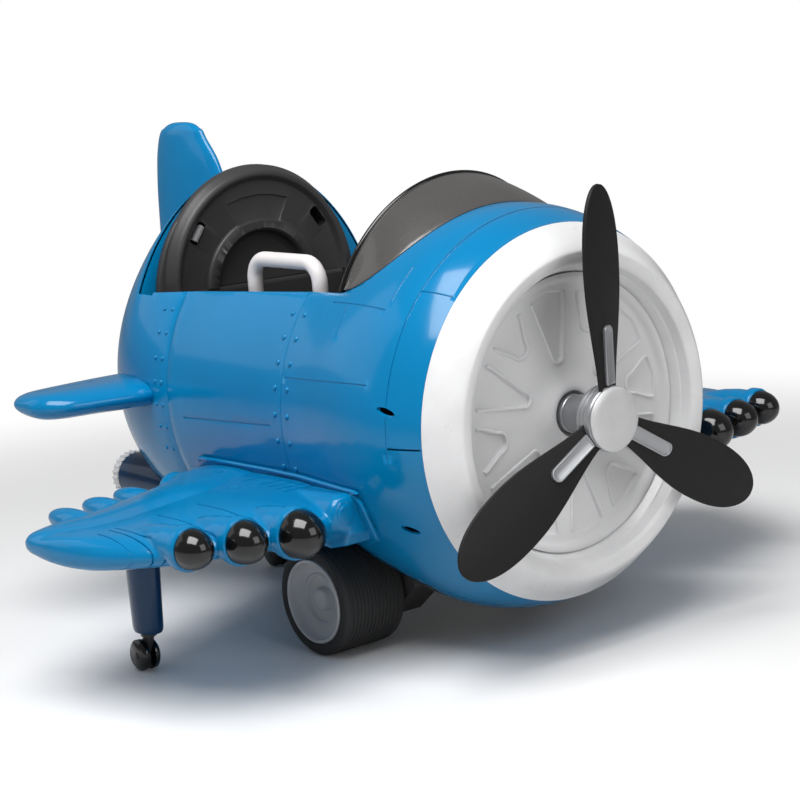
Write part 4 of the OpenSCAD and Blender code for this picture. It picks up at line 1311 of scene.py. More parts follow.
@dataclass
class Propeller:
    """Hub, collar, cap, three paddle blades and their silver braces.

    Attributes:
        axis: Height of the shaft.
        plane: Place of the blades.
        reach: Radius to the tips.
        width: Widest part of a blade.
        root: Share of the width at the root.
        thick: Thickness of a blade.
        pitch: Pitch of a blade in degrees.
        cap: Radius of the cap.
        count: Number of blades.
        widest: Share of a blade's length at which it is widest.
    """

    axis: float = 296.5
    plane: float = 471.0
    reach: float = 280.0
    width: float = 80.0
    root: float = 0.42
    thick: float = 5.0
    pitch: float = 16.0
    cap: float = 40.0
    count: int = 3
    widest: float = 0.62

    def place(self, i: int) -> Matrix:
        """Place of a blade, in metres."""
        about_shaft = turned((self.plane, 0, self.axis), 360 / self.count * i, "X")
        return about_shaft @ Matrix.Rotation(math.radians(self.pitch), 4, "Z")

    def half(self, u: float) -> float:
        """Half width of a blade at a share of its length."""
        swell = math.sin(math.pi / 2 * min(1, u / self.widest)) ** 1.7
        width = self.width / 2 * (self.root + (1 - self.root) * swell)
        past = (u - self.widest) / (1 - self.widest)
        return width if u < self.widest else width * math.sqrt(max(0, 1 - past ** 2.4))

    def blades(self) -> None:
        """The three blades: one is modelled, and the others are copies."""
        root = 22.0
        shares = [1 - (1 - k / 36) ** 1.5 for k in range(37)]
        right = [(0, self.half(u), root + (self.reach - root) * u) for u in shares]
        left = [(0, -y, z) for _, y, z in reversed(right[:-1])]
        blade = Bench.plate("blade", [(-self.thick / 2, y, z) for _, y, z in right + left],
                            (self.thick, 0, 0))
        Bench.soften(blade, 1.5, 3, 60)
        for i in range(self.count):
            copy = Bench.moved(Bench.twin(blade, f"paddle_{i + 1}"), self.place(i))
            dress(copy, Finish.BLADE, "propeller", f"blade_{i + 1}")
        bpy.data.objects.remove(blade)

    def braces(self) -> None:
        """The braces: round-ended bars with a sunk face."""
        wide, long, low = 18.0, 71.0, self.cap + 2
        arc = [(wide / 2 * math.cos(a), low + long - wide / 2 + wide / 2 * math.sin(a))
               for a in angles(math.pi, 16)]
        face = self.thick / 2 + 0.1
        outline = [(face, y, z) for y, z in [(wide / 2, low - 0.5), *arc, (-wide / 2, low - 0.5)]]
        bar = Bench.plate("bar", outline, (4.0, 0, 0))
        with Bench.shaping(bar, lambda co: co.x > face + 3.9):
            bpy.ops.mesh.select_mode(type="FACE")
            bpy.ops.mesh.inset(thickness=2.2 * MM)
            Bench.extrude(metres((-1.3, 0, 0)))
        Bench.soften(bar, 0.5, 2, 40)
        bars = [Bench.moved(Bench.twin(bar, "bar_copy"), self.place(i)) for i in range(self.count)]
        bpy.data.objects.remove(bar)
        dress(Bench.joined("brace_bars", bars), Finish.SILVER, "propeller", "blade_braces")

    def hub(self) -> None:
        """Barrel, ribbed collar and domed cap."""
        barrel = [(0, 404), (24, 404), (24, 413), (23, 414), (23, 416), (24, 417), (24, 441), (25.5, 443),
                  (25.5, 446), (24, 448), (24, 454.5), (0, 454.5)]
        r = self.cap
        collar = [(0, 455), (r - 3, 455), (r - 0.6, 456), (r, 457.5), (r, 460.5), (r - 1.6, 461.2),
                  (r - 1.6, 462.6), (r, 463.3), (r, 466.5), (r - 1.6, 467.2), (r - 1.6, 468.6),
                  (r, 469.3), (r, 477), (r - 1, 478.5), (0, 478.5)]
        dome = [((r - 0.8) * math.cos(a) ** 0.42, 481 + 5 * math.sin(a))
                for a in angles(math.pi / 2, 18)]
        cap = [(0, 479), (r - 1.8, 479), (r - 0.8, 479.8)] + dome[:-1] + [(0, 486)]
        centre = (0, 0, self.axis)
        tube = Bench.lathe("hub_tube", barrel, centre, Axis.X, 64)
        dress(Bench.soften(tube, 0.6, 2, 40), Finish.SILVER, "propeller", "hub_barrel")
        rings = Bench.lathe("hub_rings", collar, centre, Axis.X, 96)
        for i in range(self.count):
            wide = (self.root + 0.04) * self.width / 2
            slot = Bench.block("slot", (-self.thick / 2 - 0.3, -wide, 20), (self.thick / 2 + 0.3, wide, 60))
            Bench.cut(rings, Bench.moved(slot, self.place(i)))
        dress(Bench.soften(rings, 0.25, 1, 40), Finish.SILVER, "propeller", "hub_collar")
        lid = Bench.lathe("hub_lid", cap, centre, Axis.X, 96)
        dress(Bench.soften(lid, 0, angle=60), Finish.SATIN, "propeller", "hub_cap")

    def build(self) -> None:
        """Builds the whole propeller."""
        self.blades()
        self.braces()
        self.hub()


@dataclass(frozen=True)
class Pod:
    """A pod of a wing: its place across the toy, its tube and the hump behind it.

    Attributes:
        y: Distance from the middle.
        radius: Radius of the tube.
        nose: Place of the tube's front end.
        z: Height of the tube.
        hump_x: Place of the hump.
        hump_z: Height of the hump.
    """

    y: float
    radius: float
    nose: float
    z: float
    hump_x: float
    hump_z: float


@dataclass
class Wings:
    """Both wings with their root fairings, pods, pod noses and legs.

    Attributes:
        hull: The hull that they stand on.
        span: Half of the wing span.
        height: Height of the wing's middle.
        root: Thickness at the root.
        lead: Share of the chord in front of the thickest place.
        pods: The pods of a wing.
        fairing: Distance from the middle, height and radius of the root's ridge.
        ends: Rear and front end of the root fairing.
        flange: Height of the top of the flange on the hull.
        leg: Place of the leg.
        foot: Height of the leg's foot.
    """

    hull: Hull
    span: float = 560.0
    height: float = 196.0
    root: float = 62.0
    lead: float = 0.3
    pods: tuple[Pod, ...] = (Pod(480, 24, 282, 209, 9, 202), Pod(417, 26, 295, 206, -16, 200),
                             Pod(348, 29, 307, 203, -55, 194))
    fairing: tuple[float, float, float] = (258.0, 184.0, 24.0)
    ends: tuple[float, float] = (-105.0, 284.0)
    flange: float = 229.0
    leg: tuple[float, float] = (52.0, 408.0)
    foot: float = 52.0

    def stations(self) -> list[tuple[float, ...]]:
        """Span, front, back, middle height and thickness of the wing's sections."""
        z, t, end = self.height, self.root, self.span
        rows = [(200, 268, -118, z - 5, t), (262, 276, -96, z - 3, t - 1), (300, 286, -60, z, t - 4),
                (348, 296, -30, z + 2, t - 6), (417, 284, 0, z + 3, t - 13), (480, 269, 18, z + 3, t - 20),
                (505, 248, 18, z + 2, t - 22), (end - 38, 222, 18, z, t - 22),
                (end - 24, 192, 20, z - 2, t - 23), (end - 13, 160, 23, z - 3, t - 27),
                (end - 6, 130, 29, z - 4, t - 34), (end - 2, 104, 38, z - 4, t - 42),
                (end, 84, 48, z - 4, t - 52)]
        return flowing(rows, 4)

    def pod(self, pod: Pod) -> bpy.types.Object:
        """A pod: a short tube with a collar that runs out into the wing."""
        r, nose = pod.radius, pod.nose
        outline = [(0, nose - 110), (0.6 * r, nose - 96), (0.85 * r, nose - 66), (0.96 * r, nose - 40),
                   (r - 1, nose - 16), (r + 2, nose - 14), (r + 2, nose - 2), (r - 1, nose), (0, nose)]
        return Bench.lathe("pod", outline, (0, pod.y, pod.z), Axis.X, 48)

    def hump(self, pod: Pod) -> bpy.types.Object:
        """The hump on the trailing edge behind a pod."""
        Bench.clear()
        bpy.ops.mesh.primitive_uv_sphere_add(segments=32, ring_count=20, radius=MM)
        piece = bpy.context.object
        with Bench.shaping(piece):
            bpy.ops.transform.resize(value=(62, 17, 17), center_override=(0, 0, 0))
        return Bench.moved(piece, Matrix.Translation(metres((pod.hump_x + 16, pod.y, pod.hump_z))))

    def ridge(self) -> list[bpy.types.Object]:
        """The root fairing: a rounded ridge and the block that joins it to the hull."""
        (y, z, r), (rear, front), long = self.fairing, self.ends, 395.0
        outline = [(0, 0), (0.6 * r, 2), (0.9 * r, 7), (r, 14), (r, long - 10), (r - 3, long - 3),
                   (r - 8, long), (0, long)]
        bar = Bench.moved(Bench.lathe("ridge", outline, (0, 0, 0), Axis.X, 64), self.ridge_place())
        top = self.flange
        side = [(rear, z - 16), (rear, z + 12), (rear + 12, z + r - 3), (front - 10, top - 1),
                (front - 3, top - 4), (front, top - 10), (front, z - 6), (front - 8, z - 20),
                (front - 40, 156)]
        return [bar, Bench.plate("root_block", [(u, 190, v) for u, v in side], (0, y - 190, 0))]

    def ridge_place(self) -> Matrix:
        """Place of the ridge: it rises a little to the front."""
        y, z, _ = self.fairing
        return turned((self.ends[0] - 6, y, z), -3, "Y")

    def bands(self) -> list[bpy.types.Object]:
        """Thin solids that press bands into the ridge and panel lines into the wing's tip."""
        r, start, cuts = self.fairing[2], self.ends[0] - 6, []
        for x in (187, 170, 150, 129, 90, 17, 7, -4, -41):
            ring = [(r - 1.7, x - start - 1), (r + 8, x - start - 1), (r + 8, x - start + 1),
                    (r - 1.7, x - start + 1)]
            cuts.append(Bench.moved(Bench.lathe("band", ring, (0, 0, 0), Axis.X, 48, closed=True),
                                    self.ridge_place()))
        for y in (523, 508, 499, 440, 384):
            near = min(self.stations(), key=lambda row: abs(row[0] - y))
            score = Loft("score", 56, Axis.Y).build([self.section(near, y + dy, 6) for dy in (-0.9, 0.9)])
            kept = [self.section(near, y + dy, -1.3) for dy in (-3, 3)]
            Bench.cut(score, Loft("keep", 56, Axis.Y).build(kept))
            Bench.cut(score, Bench.block("aft", (-400, y - 9, 0), (150, y + 9, 400)))
            cuts.append(score)
        return cuts

    def section(self, row: Sequence[float], y: float, grow: float = 0.0
                ) -> tuple[Point, float, float, float, float]:
        """The foil's section at a distance from the middle, from a row of its sizes."""
        _, front, back, middle, thick = row
        lead = self.lead * (front - back)
        half = thick / 2 + grow
        return (front - lead, y, middle), lead + grow, front - back - lead + grow, half, half

    def rim(self) -> bpy.types.Object:
        """The flange: a thin raised plate on the hull round the fairing's end."""
        z, (rear, front), top = self.fairing[1], self.ends, self.flange
        side = [(rear + 5, z), (rear + 12, top - 9), (rear + 20, top - 7), (rear + 60, top - 3),
                (front - 18, top + 2), (front - 9, top + 1.4), (front - 2, top - 2),
                (front + 5, top - 6), (front + 10, top - 12), (front + 13, top - 20),
                (front + 13, z - 8), (front + 6, z - 20), (front - 14, z - 28)]
        plate = Bench.plate("wing_flange", [(u, 150, v) for u, v in side], (0, 130, 0))
        rings = [self.hull.ring(x, -5.0) for x in range(310, -126, -12)]
        Bench.cut(plate, Loft("flange_skin", 96, Axis.X).build(rings), "INTERSECT")
        Bench.cut(plate, self.body())
        return Bench.soften(plate, 1.6, 3, 50)

    def body(self) -> bpy.types.Object:
        """The hull as a cutter, a little larger than the shells."""
        return Loft("body_room", 96, Axis.X).build([self.hull.ring(x, -0.5) for x in range(340, -170, -15)])

    def wing(self) -> bpy.types.Object:
        """The left wing: foil, pods, humps and root in one filleted moulding, and its flange."""
        foil = Loft("foil", 56, Axis.Y).build([self.section(row, row[0]) for row in self.stations()])
        aft = [((b + 0.3 * (f - b), y, m), 0.3 * (f - b), 0.3 * (f - b), 0.48 * t, 0.4 * t)
               for y, f, b, m, t in self.stations()]
        Bench.cut(foil, Loft("aft_foil", 56, Axis.Y).build(aft), "UNION")
        for pod in self.pods:
            Bench.cut(foil, self.pod(pod), "UNION")
            Bench.cut(foil, self.hump(pod), "UNION")
        for part in self.ridge():
            Bench.cut(foil, part, "UNION")
        Bench.finish_with(foil, "REMESH", mode="VOXEL", voxel_size=2.2 * MM, use_smooth_shade=True)
        Bench.finish_with(foil, "SMOOTH", factor=0.5, iterations=4)
        wheel_x, wheel_z = self.hull.wheel
        room = Bench.rod("wheel_room", (wheel_x, WHEEL_Y, wheel_z), *WHEEL_ROOM, Axis.Y, 64)
        for cutter in (self.body(), room, *self.bands()):
            Bench.cut(foil, cutter)
        boss = Bench.lathe("boss", [(0, 0), (12.5, 0), (12.5, 4.6), (11.4, 5.6), (9, 5.8), (0, 5.8)],
                           (279, self.fairing[0] + 2, 205), Axis.X, 40)
        parts = [foil, Bench.shade(boss, 40), self.rim(), self.lip(),
                 *(self.collar(pod) for pod in self.pods)]
        return Bench.shade(Bench.joined("wing_left_skin", parts), 40)

    @staticmethod
    def collar(pod: Pod) -> bpy.types.Object:
        """The collar round the front of a pod."""
        r, x = pod.radius, pod.nose
        ring = [(r - 4, x - 15), (r + 1.6, x - 15), (r + 2.8, x - 14), (r + 3, x - 12.6), (r + 3, x - 3),
                (r + 2.2, x - 1), (r + 0.6, x), (r - 4, x)]
        return Bench.shade(Bench.lathe("collar", ring, (0, pod.y, pod.z), Axis.X, 56, closed=True), 30)

    def lip(self) -> bpy.types.Object:
        """The bead along the flange's upper edge."""
        z, (rear, front), top = self.fairing[1], self.ends, self.flange
        edge = [(rear + 24, top - 8.5), (rear + 60, top - 4), (front - 18, top + 1), (front - 6, top - 1.6),
                (front + 5, top - 8), (front + 11, top - 18), (front + 12, z + 2), (front + 10, z - 12)]
        path = []
        for x, up, *_ in flowing([(*point, 0.0) for point in edge], 5):
            rise = (up - self.hull.axis) / self.hull.keel(x)
            path.append((x, self.hull.half_width(x) * math.sqrt(1 - rise * rise) + 4.2, up))
        return Bench.shade(Bench.wire("lip", path, 2.6), 60)

    def noses(self) -> bpy.types.Object:
        """The black half eggs in front of the left wing's pods."""
        eggs = []
        for pod in self.pods:
            r, start = pod.radius, pod.nose + 0.5
            egg = [(r * math.cos(a), start + r * 1.25 * math.sin(a)) for a in angles(math.pi / 2, 16)[:-1]]
            eggs.append(Bench.lathe("egg", [(0, start)] + egg + [(0, start + r * 1.25)], (0, pod.y, pod.z),
                                    Axis.X, 48))
        return Bench.shade(Bench.joined("pod_eggs_left", eggs), 60)

    def strut(self) -> bpy.types.Object:
        """The left leg: a tapered oval strut with a rolled foot and the caster's bore."""
        x, y = self.leg
        rows = [(0, 20.5, 14), (0.8, 22, 15.5), (3, 23.4, 16.4), (8, 24.2, 17), (138, 27.8, 20.9)]
        rings = [((x, y, self.foot + up), wide, wide, deep, deep) for up, wide, deep in rows]
        strut = Loft("strut", 48, Axis.Z).build(rings)
        Bench.cut(strut, Bench.rod("stem_room", (x, y, self.foot), 6.1, 80, Axis.Z, 32))
        return Bench.shade(strut, 50)

    def build(self) -> None:
        """Builds the left wing's pieces and mirrors them."""
        for piece, finish, node in ((self.wing(), Finish.WING, "wing"),
                                    (self.noses(), Finish.POLISHED, "pod_noses"),
                                    (self.strut(), Finish.LEG, "wing_leg")):
            other = Bench.mirrored(piece, piece.name.replace("left", "right") if "left" in piece.name
                                   else piece.name + "_right")
            dress(piece, finish, "airframe", node + "_left")
            dress(other, finish, "airframe", node + "_right")


@dataclass
class Tail:
    """Fin, stabilisers and the two nozzles.

    Attributes:
        hull: The hull that they stand on.
        nozzle: Place, distance from the middle and height of a nozzle's end.
        nozzle_r: Radius of a nozzle.
        ribs: Ribs round a nozzle's ring.
    """

    hull: Hull
    nozzle: tuple[float, float, float] = (-385.0, 150.0, 150.0)
    nozzle_r: float = 33.0
    ribs: int = 24

    def room(self) -> bpy.types.Object:
        """The hull's tail as a cutter, a little larger than the shell."""
        xs = [x for x in self.hull.stations() if x < -120]
        return Loft("tail_room", 96, Axis.X).build([self.hull.ring(x, -0.6) for x in xs])

    def fin(self) -> None:
        """The fin: rings stacked upwards, with a leaning front edge."""
        levels = [(316, -286, -482, 17), (400, -279, -482, 17), (470, -278, -482, 17),
                  (540, -288, -480, 16), (581, -306, -476, 15), (604, -319, -472, 14.3),
                  (628, -340, -464, 12.9), (640, -348, -456, 11.6), (644, -356, -448, 10.5),
                  (649, -365, -437, 8), (652, -377, -424, 5), (653, -390, -409, 2.2)]
        rings = [((0.5 * (f + b), 0, z), 0.5 * (f - b), 0.5 * (f - b), t, t)
                 for z, f, b, t in flowing(levels, 3)]
        fin = Loft("fin_skin", 40, Axis.Z).build(rings)
        Bench.cut(fin, self.room())
        dress(Bench.shade(fin, 50), Finish.WING, "airframe", "tail_fin")

    def stabilisers(self) -> None:
        """The left stabiliser with its vents, and its mirror image."""
        a = self.hull.axis
        levels = [(40, -166, -345, a + 3, 42), (225, -170, -338, a + 4, 41),
                  (262, -171.5, -336.5, a + 4.6, 39), (300, -178, -331, a + 5, 37.5),
                  (345, -187, -322, a + 5, 37), (364, -196, -311, a + 5, 35),
                  (373, -203, -302, a + 5, 32), (379, -210, -294, a + 5, 28), (384, -219, -285, a + 5, 22),
                  (388, -229, -275, a + 5, 13)]
        rings = [((f - 0.3 * (f - b), y, m), 0.3 * (f - b), 0.7 * (f - b), 0.5 * t, 0.5 * t)
                 for y, f, b, m, t in flowing(levels, 3)]
        fin = Loft("stabiliser_left_skin", 48, Axis.Y).build(rings)
        Bench.cut(fin, self.room())
        for i in range(4):
            low = (-262, 268 + 24 * i, a + 17)
            Bench.cut(fin, Bench.block("vent", low, (low[0] + 3, low[1] + 17, a + 60)))
        Bench.soften(fin, 0.8, 2, 60)
        Bench.shade(fin, 50)
        other = Bench.mirrored(fin, "stabiliser_right_skin")
        dress(fin, Finish.WING, "airframe", "stabiliser_left")
        dress(other, Finish.WING, "airframe", "stabiliser_right")

    def nozzles(self) -> None:
        """The dark nozzles and their white ribbed rings."""
        x, y, z = self.nozzle
        r = self.nozzle_r
        long = 150.0
        dome = [(0.95, 32), (0.89, 23), (0.8, 15), (0.66, 8), (0.5, 3), (0.26, 0.8)]
        outline = [(0, 16), (r - 1.5, 16), (r, 17.5), (r, long - 50)] + [(r * k, long - u) for k, u in dome]
        tube = Bench.lathe("nozzle_left", outline + [(0, long)], (x, y, z), Axis.X, 64)
        Bench.cut(tube, self.room())
        both = Bench.joined("nozzle_tubes", [tube, Bench.mirrored(tube, "nozzle_right")])
        dress(Bench.soften(both, 0, angle=40), Finish.LEG, "airframe", "tail_nozzles")
        outline = [(r - 0.5, 15.6), (r - 0.5, 1), (r - 1.5, 0), (r - 6, 0), (r - 7, 1), (r - 7, 11),
                   (0, 11), (0, 15.6)]
        ring = Bench.lathe("nozzle_ring", outline, (0, 0, 0), Axis.X, 96)
        rib = Bench.block("rib", (0.4, -1.4, r - 2), (15.6, 1.4, r + 1.4))
        Bench.soften(rib, 0.7, 2)
        ribs = [Bench.moved(Bench.twin(rib, "rib_copy"), Matrix.Rotation(a, 4, "X"))
                for a in angles(math.tau, self.ribs)[:-1]]
        bpy.data.objects.remove(rib)
        ring = Bench.joined("nozzle_ring", [Bench.soften(ring, 0.5, 2, 40), *ribs])
        Bench.moved(ring, Matrix.Translation(metres((x, y, z))))
        both = Bench.joined("nozzle_ends", [ring, Bench.mirrored(ring, "ring_right")])
        dress(Bench.shade(both, 40), Finish.WHITE, "airframe", "nozzle_rings")

    def build(self) -> None:
        """Builds the tail."""
        self.fin()
        self.stabilisers()
        self.nozzles()


@dataclass
class Cockpit:
    """Windshield, seat back, strap and handles.

    Attributes:
        hull: The hull around it.
        rim_x: Foot of the windshield's rim.
        lean: Forward lean of the rim in degrees.
        handle: Place, distance from the middle and base height of a handle.
        handle_size: Length, height and diameter of a handle.
        ridge: Radius and height of the seat back's ridge.
        pad: Radius and height of the seat back's raised ring.
        slot: Inner radius, length, width and angle of a belt slot.
    """

    hull: Hull
    rim_x: float = 188.0
    lean: float = 10.0
    handle: tuple[float, float, float] = (51.0, 154.0, 426.0)
    handle_size: tuple[float, float, float] = (162.0, 70.0, 20.0)
    ridge: tuple[float, float] = (148.0, 432.0)
    pad: tuple[float, float] = (98.0, 420.0)
    slot: tuple[float, float, float, float] = (121.0, 34.0, 15.0, 55.0)

    def edge_at(self, angle: float) -> tuple[float, float]:
        """The brow's edge where it crosses the hull at an angle over the horizontal."""
        low, high = 0.0, 1.0
        for _ in range(20):
            mid = (low + high) / 2
            x, z = self.hull.edge(mid)
            if z > self.hull.axis + self.hull.half_width(x) * math.sin(angle):
                high = mid
            else:
                low = mid
        return self.hull.edge(low)

    def glass_point(self, angle: float, share: float, inset: float = 0.3) -> Vector:
        """A point of the windshield between the brow and its rim.

        Args:
            angle: Angle round the hull in radians, from the right side over the top.
            share: 0 at the brow, 1 at the rim.
            inset: How far the point lies under the hull's surface.

        Returns:
            The point in millimetres.
        """
        x0, z0 = self.edge_at(min(angle, math.pi - angle))
        y0 = (self.hull.half_width(x0) - inset) * math.cos(angle)
        polar = math.atan2(z0 - self.hull.arch_z, y0)
        reach = math.hypot(y0, z0 - self.hull.arch_z)
        lean = math.radians(self.lean)
        front = x0 - 1.2
        rim = self.rim_x + math.sin(lean) * (self.hull.arch - inset) * math.sin(polar)
        x = front + (rim - front) * share
        r = reach + (self.hull.arch - inset - reach) * share + 3.5 * math.sin(math.pi * share)
        up = r * math.sin(polar) * (1 - share * (1 - math.cos(lean)))
        return Vector((x, -r * math.cos(polar), self.hull.arch_z + up + 0.6 * (1 - share)))

    def windshield(self) -> None:
        """The hood: a grid laid from the brow to the rim, thickened, with a bead along its edge."""
        h = self.hull
        first = math.asin((455 - h.axis) / h.half_width(190)) + math.radians(1)
        spans, rows = 96, 12
        Bench.clear()
        bpy.ops.mesh.primitive_grid_add(x_subdivisions=spans, y_subdivisions=rows, size=1)
        hood = bpy.context.object
        hood.name = hood.data.name = "hood"
        for vert in hood.data.vertices:
            angle = first + (math.pi - 2 * first) * (vert.co.x + 0.5)
            vert.co = self.glass_point(angle, vert.co.y + 0.5) * MM
        Bench.clean(hood)
        Bench.finish_with(hood, "SOLIDIFY", thickness=3.7 * MM, offset=-1.0)
        dress(Bench.soften(hood, 0.8, 2, 60), Finish.HOOD, "airframe", "windshield")
        circle = [(h.arch - 2 + 3.9 * math.cos(a), -4.3 + 3.9 * math.sin(a))
                  for a in angles(math.tau, 16)[:-1]]
        bead = Bench.lathe("hood_bead", circle, (0, 0, 0), Axis.X, 72, 148, 106, closed=True)
        for end in (1, -1):
            def at_end(co: Vector, end: int = end) -> bool:
                """Whether a place lies on the bead's end on this side."""
                return end * co.y > 0 and abs(math.atan2(co.z, end * co.y) - math.radians(16)) < 1e-3

            with Bench.shaping(bead, at_end):
                bpy.ops.mesh.edge_face_add()
        Bench.moved(bead, turned((self.rim_x, 0, h.arch_z), self.lean, "Y"))
        dress(Bench.shade(bead, 60), Finish.POLISHED, "airframe", "windshield_rim")

    def disc(self, name: str, outline: Outline, z: float) -> bpy.types.Object:
        """A turned disc on the seat back, with its heights measured forwards from the bulkhead."""
        return Bench.lathe(name, outline, (self.hull.seat, 0, z), Axis.X, 128)

    def slot_turn(self, side: Side) -> Matrix:
        """Turn and place of a belt slot, from one that stands upright over the ridge's centre."""
        return turned((self.hull.seat, 0, self.ridge[1]), -side.sign * self.slot[3], "X")

    def seat_back(self) -> None:
        """The seat back: plate, ridge, raised ring and sunk middle, cut level over the seat."""
        h = self.hull
        (ridge, ridge_z), (pad, pad_z) = self.ridge, self.pad
        arch = self.disc("seat_arch", [(0, 0.4), (h.arch - 11, 0.4), (h.arch - 11, 6), (h.arch - 12, 7.6),
                                       (h.arch - 14, 8.2), (0, 8.2)], h.arch_z + 8)
        band = self.disc("seat_band", [
            (0, 0.5), (ridge + 12, 0.5), (ridge + 11.6, 8.6), (ridge + 9, 12), (ridge + 5.5, 19),
            (ridge + 3.4, 22.4), (ridge + 0.6, 24), (ridge - 3, 24), (ridge - 6, 22.6),
            (ridge - 8.6, 19.4), (ridge - 12, 18.2), (0, 18.2)], ridge_z)
        ring = self.disc("seat_ring", [(0, 0.6), (pad, 0.6), (pad, 20.5), (pad - 1, 22.8), (pad - 3.4, 24),
                                       (0, 24)], pad_z)
        dish = self.disc("seat_dish", [(0, 9.4), (pad - 30, 9.8), (pad - 25, 11.4), (pad - 22, 15),
                                       (pad - 20.4, 20), (pad - 18.6, 22.8), (pad - 16, 24),
                                       (pad - 14, 30), (0, 30)], pad_z)
        for part, how in ((band, "UNION"), (ring, "UNION"), (dish, "DIFFERENCE")):
            Bench.cut(arch, part, how)
        panel = [(156, -20), (156, -10), (156, 0), (156, 10), (156, 20), (118, 18), (118, 9), (118, 0),
                 (118, -9), (118, -18)]
        corners = [(16.6, u * math.sin(math.radians(a)), h.arch_z + u * math.cos(math.radians(a)))
                   for u, a in panel]
        inset = Bench.plate("seat_panel", corners, (20, 0, 0))
        Bench.soften(inset, 2.5, 3, 30)
        Bench.cut(arch, Bench.moved(inset, Matrix.Translation(metres((h.seat, 0, -12)))))
        Bench.cut(arch, Bench.block("below", (h.seat - 20, -300, 100), (h.seat + 60, 300, 426.4)))
        low, long, wide, _ = self.slot
        for side in Side:
            for name, grow, deep, how in (("slot_frame", 4.5, 19.8, "UNION"),
                                          ("belt_slot", 0.0, 60, "DIFFERENCE")):
                slot = Bench.block(name, (-10, -long / 2 - grow, low - grow),
                                   (deep, long / 2 + grow, low + wide + grow))
                with Bench.shaping(slot):
                    bpy.ops.mesh.bevel(offset=(5 + grow) * MM, segments=5, affect="EDGES")
                Bench.cut(arch, Bench.moved(slot, self.slot_turn(side)), how)
        Bench.cut(arch, Bench.block("slab", (h.seat + 0.4, -157.6, 230.4), (h.seat + 8.2, 157.6, 434)),
                  "UNION")
        dress(Bench.soften(arch, 0.9, 2, 50), Finish.BLACK, "airframe", "seat_back")

    def strap(self) -> None:
        """The harness strap: a strip of webbing that comes out of the right slot and turns over."""
        low, long, wide, _ = self.slot
        path = [(5, wide - 4.6), (14, wide - 4.7), (19, wide - 5.4), (21, wide - 7), (20.6, 3.4), (18, 2.2),
                (10, 2.4)]
        rail = [(x, 5 - long / 2, low + z) for x, z in path]
        strip = Bench.trace("harness_strip", rail)
        with Bench.shaping(strip):
            Bench.extrude(metres((0, long - 10, 0)))
        Bench.clean(strip)
        Bench.finish_with(strip, "SUBSURF", levels=2, render_levels=2)
        Bench.finish_with(strip, "SOLIDIFY", thickness=1.6 * MM, offset=0.0)
        Bench.moved(strip, self.slot_turn(Side.RIGHT))
        dress(Bench.shade(strip, 60), Finish.STRAP, "airframe", "harness_strap")

    def handles(self) -> None:
        """The left handle, spun round its two bends, and its twin."""
        x, y, z = self.handle
        length, height, width = self.handle_size
        r, bend = width / 2, 26.0
        half, rise = length / 2 - r, height - r
        Bench.clear()
        bpy.ops.mesh.primitive_circle_add(vertices=32, radius=r * MM, location=metres((x - half, y, z)),
                                          fill_type="NGON")
        tube = Bench.settle(bpy.context.object)
        tube.name = tube.data.name = "handle_left_tube"
        with Bench.shaping(tube):
            Bench.extrude(metres((0, 0, rise - bend)))
            bpy.ops.mesh.spin(steps=12, angle=math.pi / 2,
                              center=metres((x - half + bend, y, z + rise - bend)),
                              axis=(0, -1, 0))
            Bench.extrude(metres((2 * (half - bend), 0, 0)))
            bpy.ops.mesh.spin(steps=12, angle=math.pi / 2,
                              center=metres((x + half - bend, y, z + rise - bend)),
                              axis=(0, -1, 0))
            Bench.extrude(metres((0, 0, bend - rise)))
        Bench.clean(tube)
        Bench.soften(tube, 0.8, 2, 60)
        other = Bench.mirrored(tube, "handle_right_tube")
        dress(tube, Finish.HANDLE, "airframe", "grab_handle_left")
        dress(other, Finish.HANDLE, "airframe", "grab_handle_right")

    def build(self) -> None:
        """Builds what shows of the cockpit."""
        self.windshield()
        self.seat_back()
        self.strap()
        self.handles()


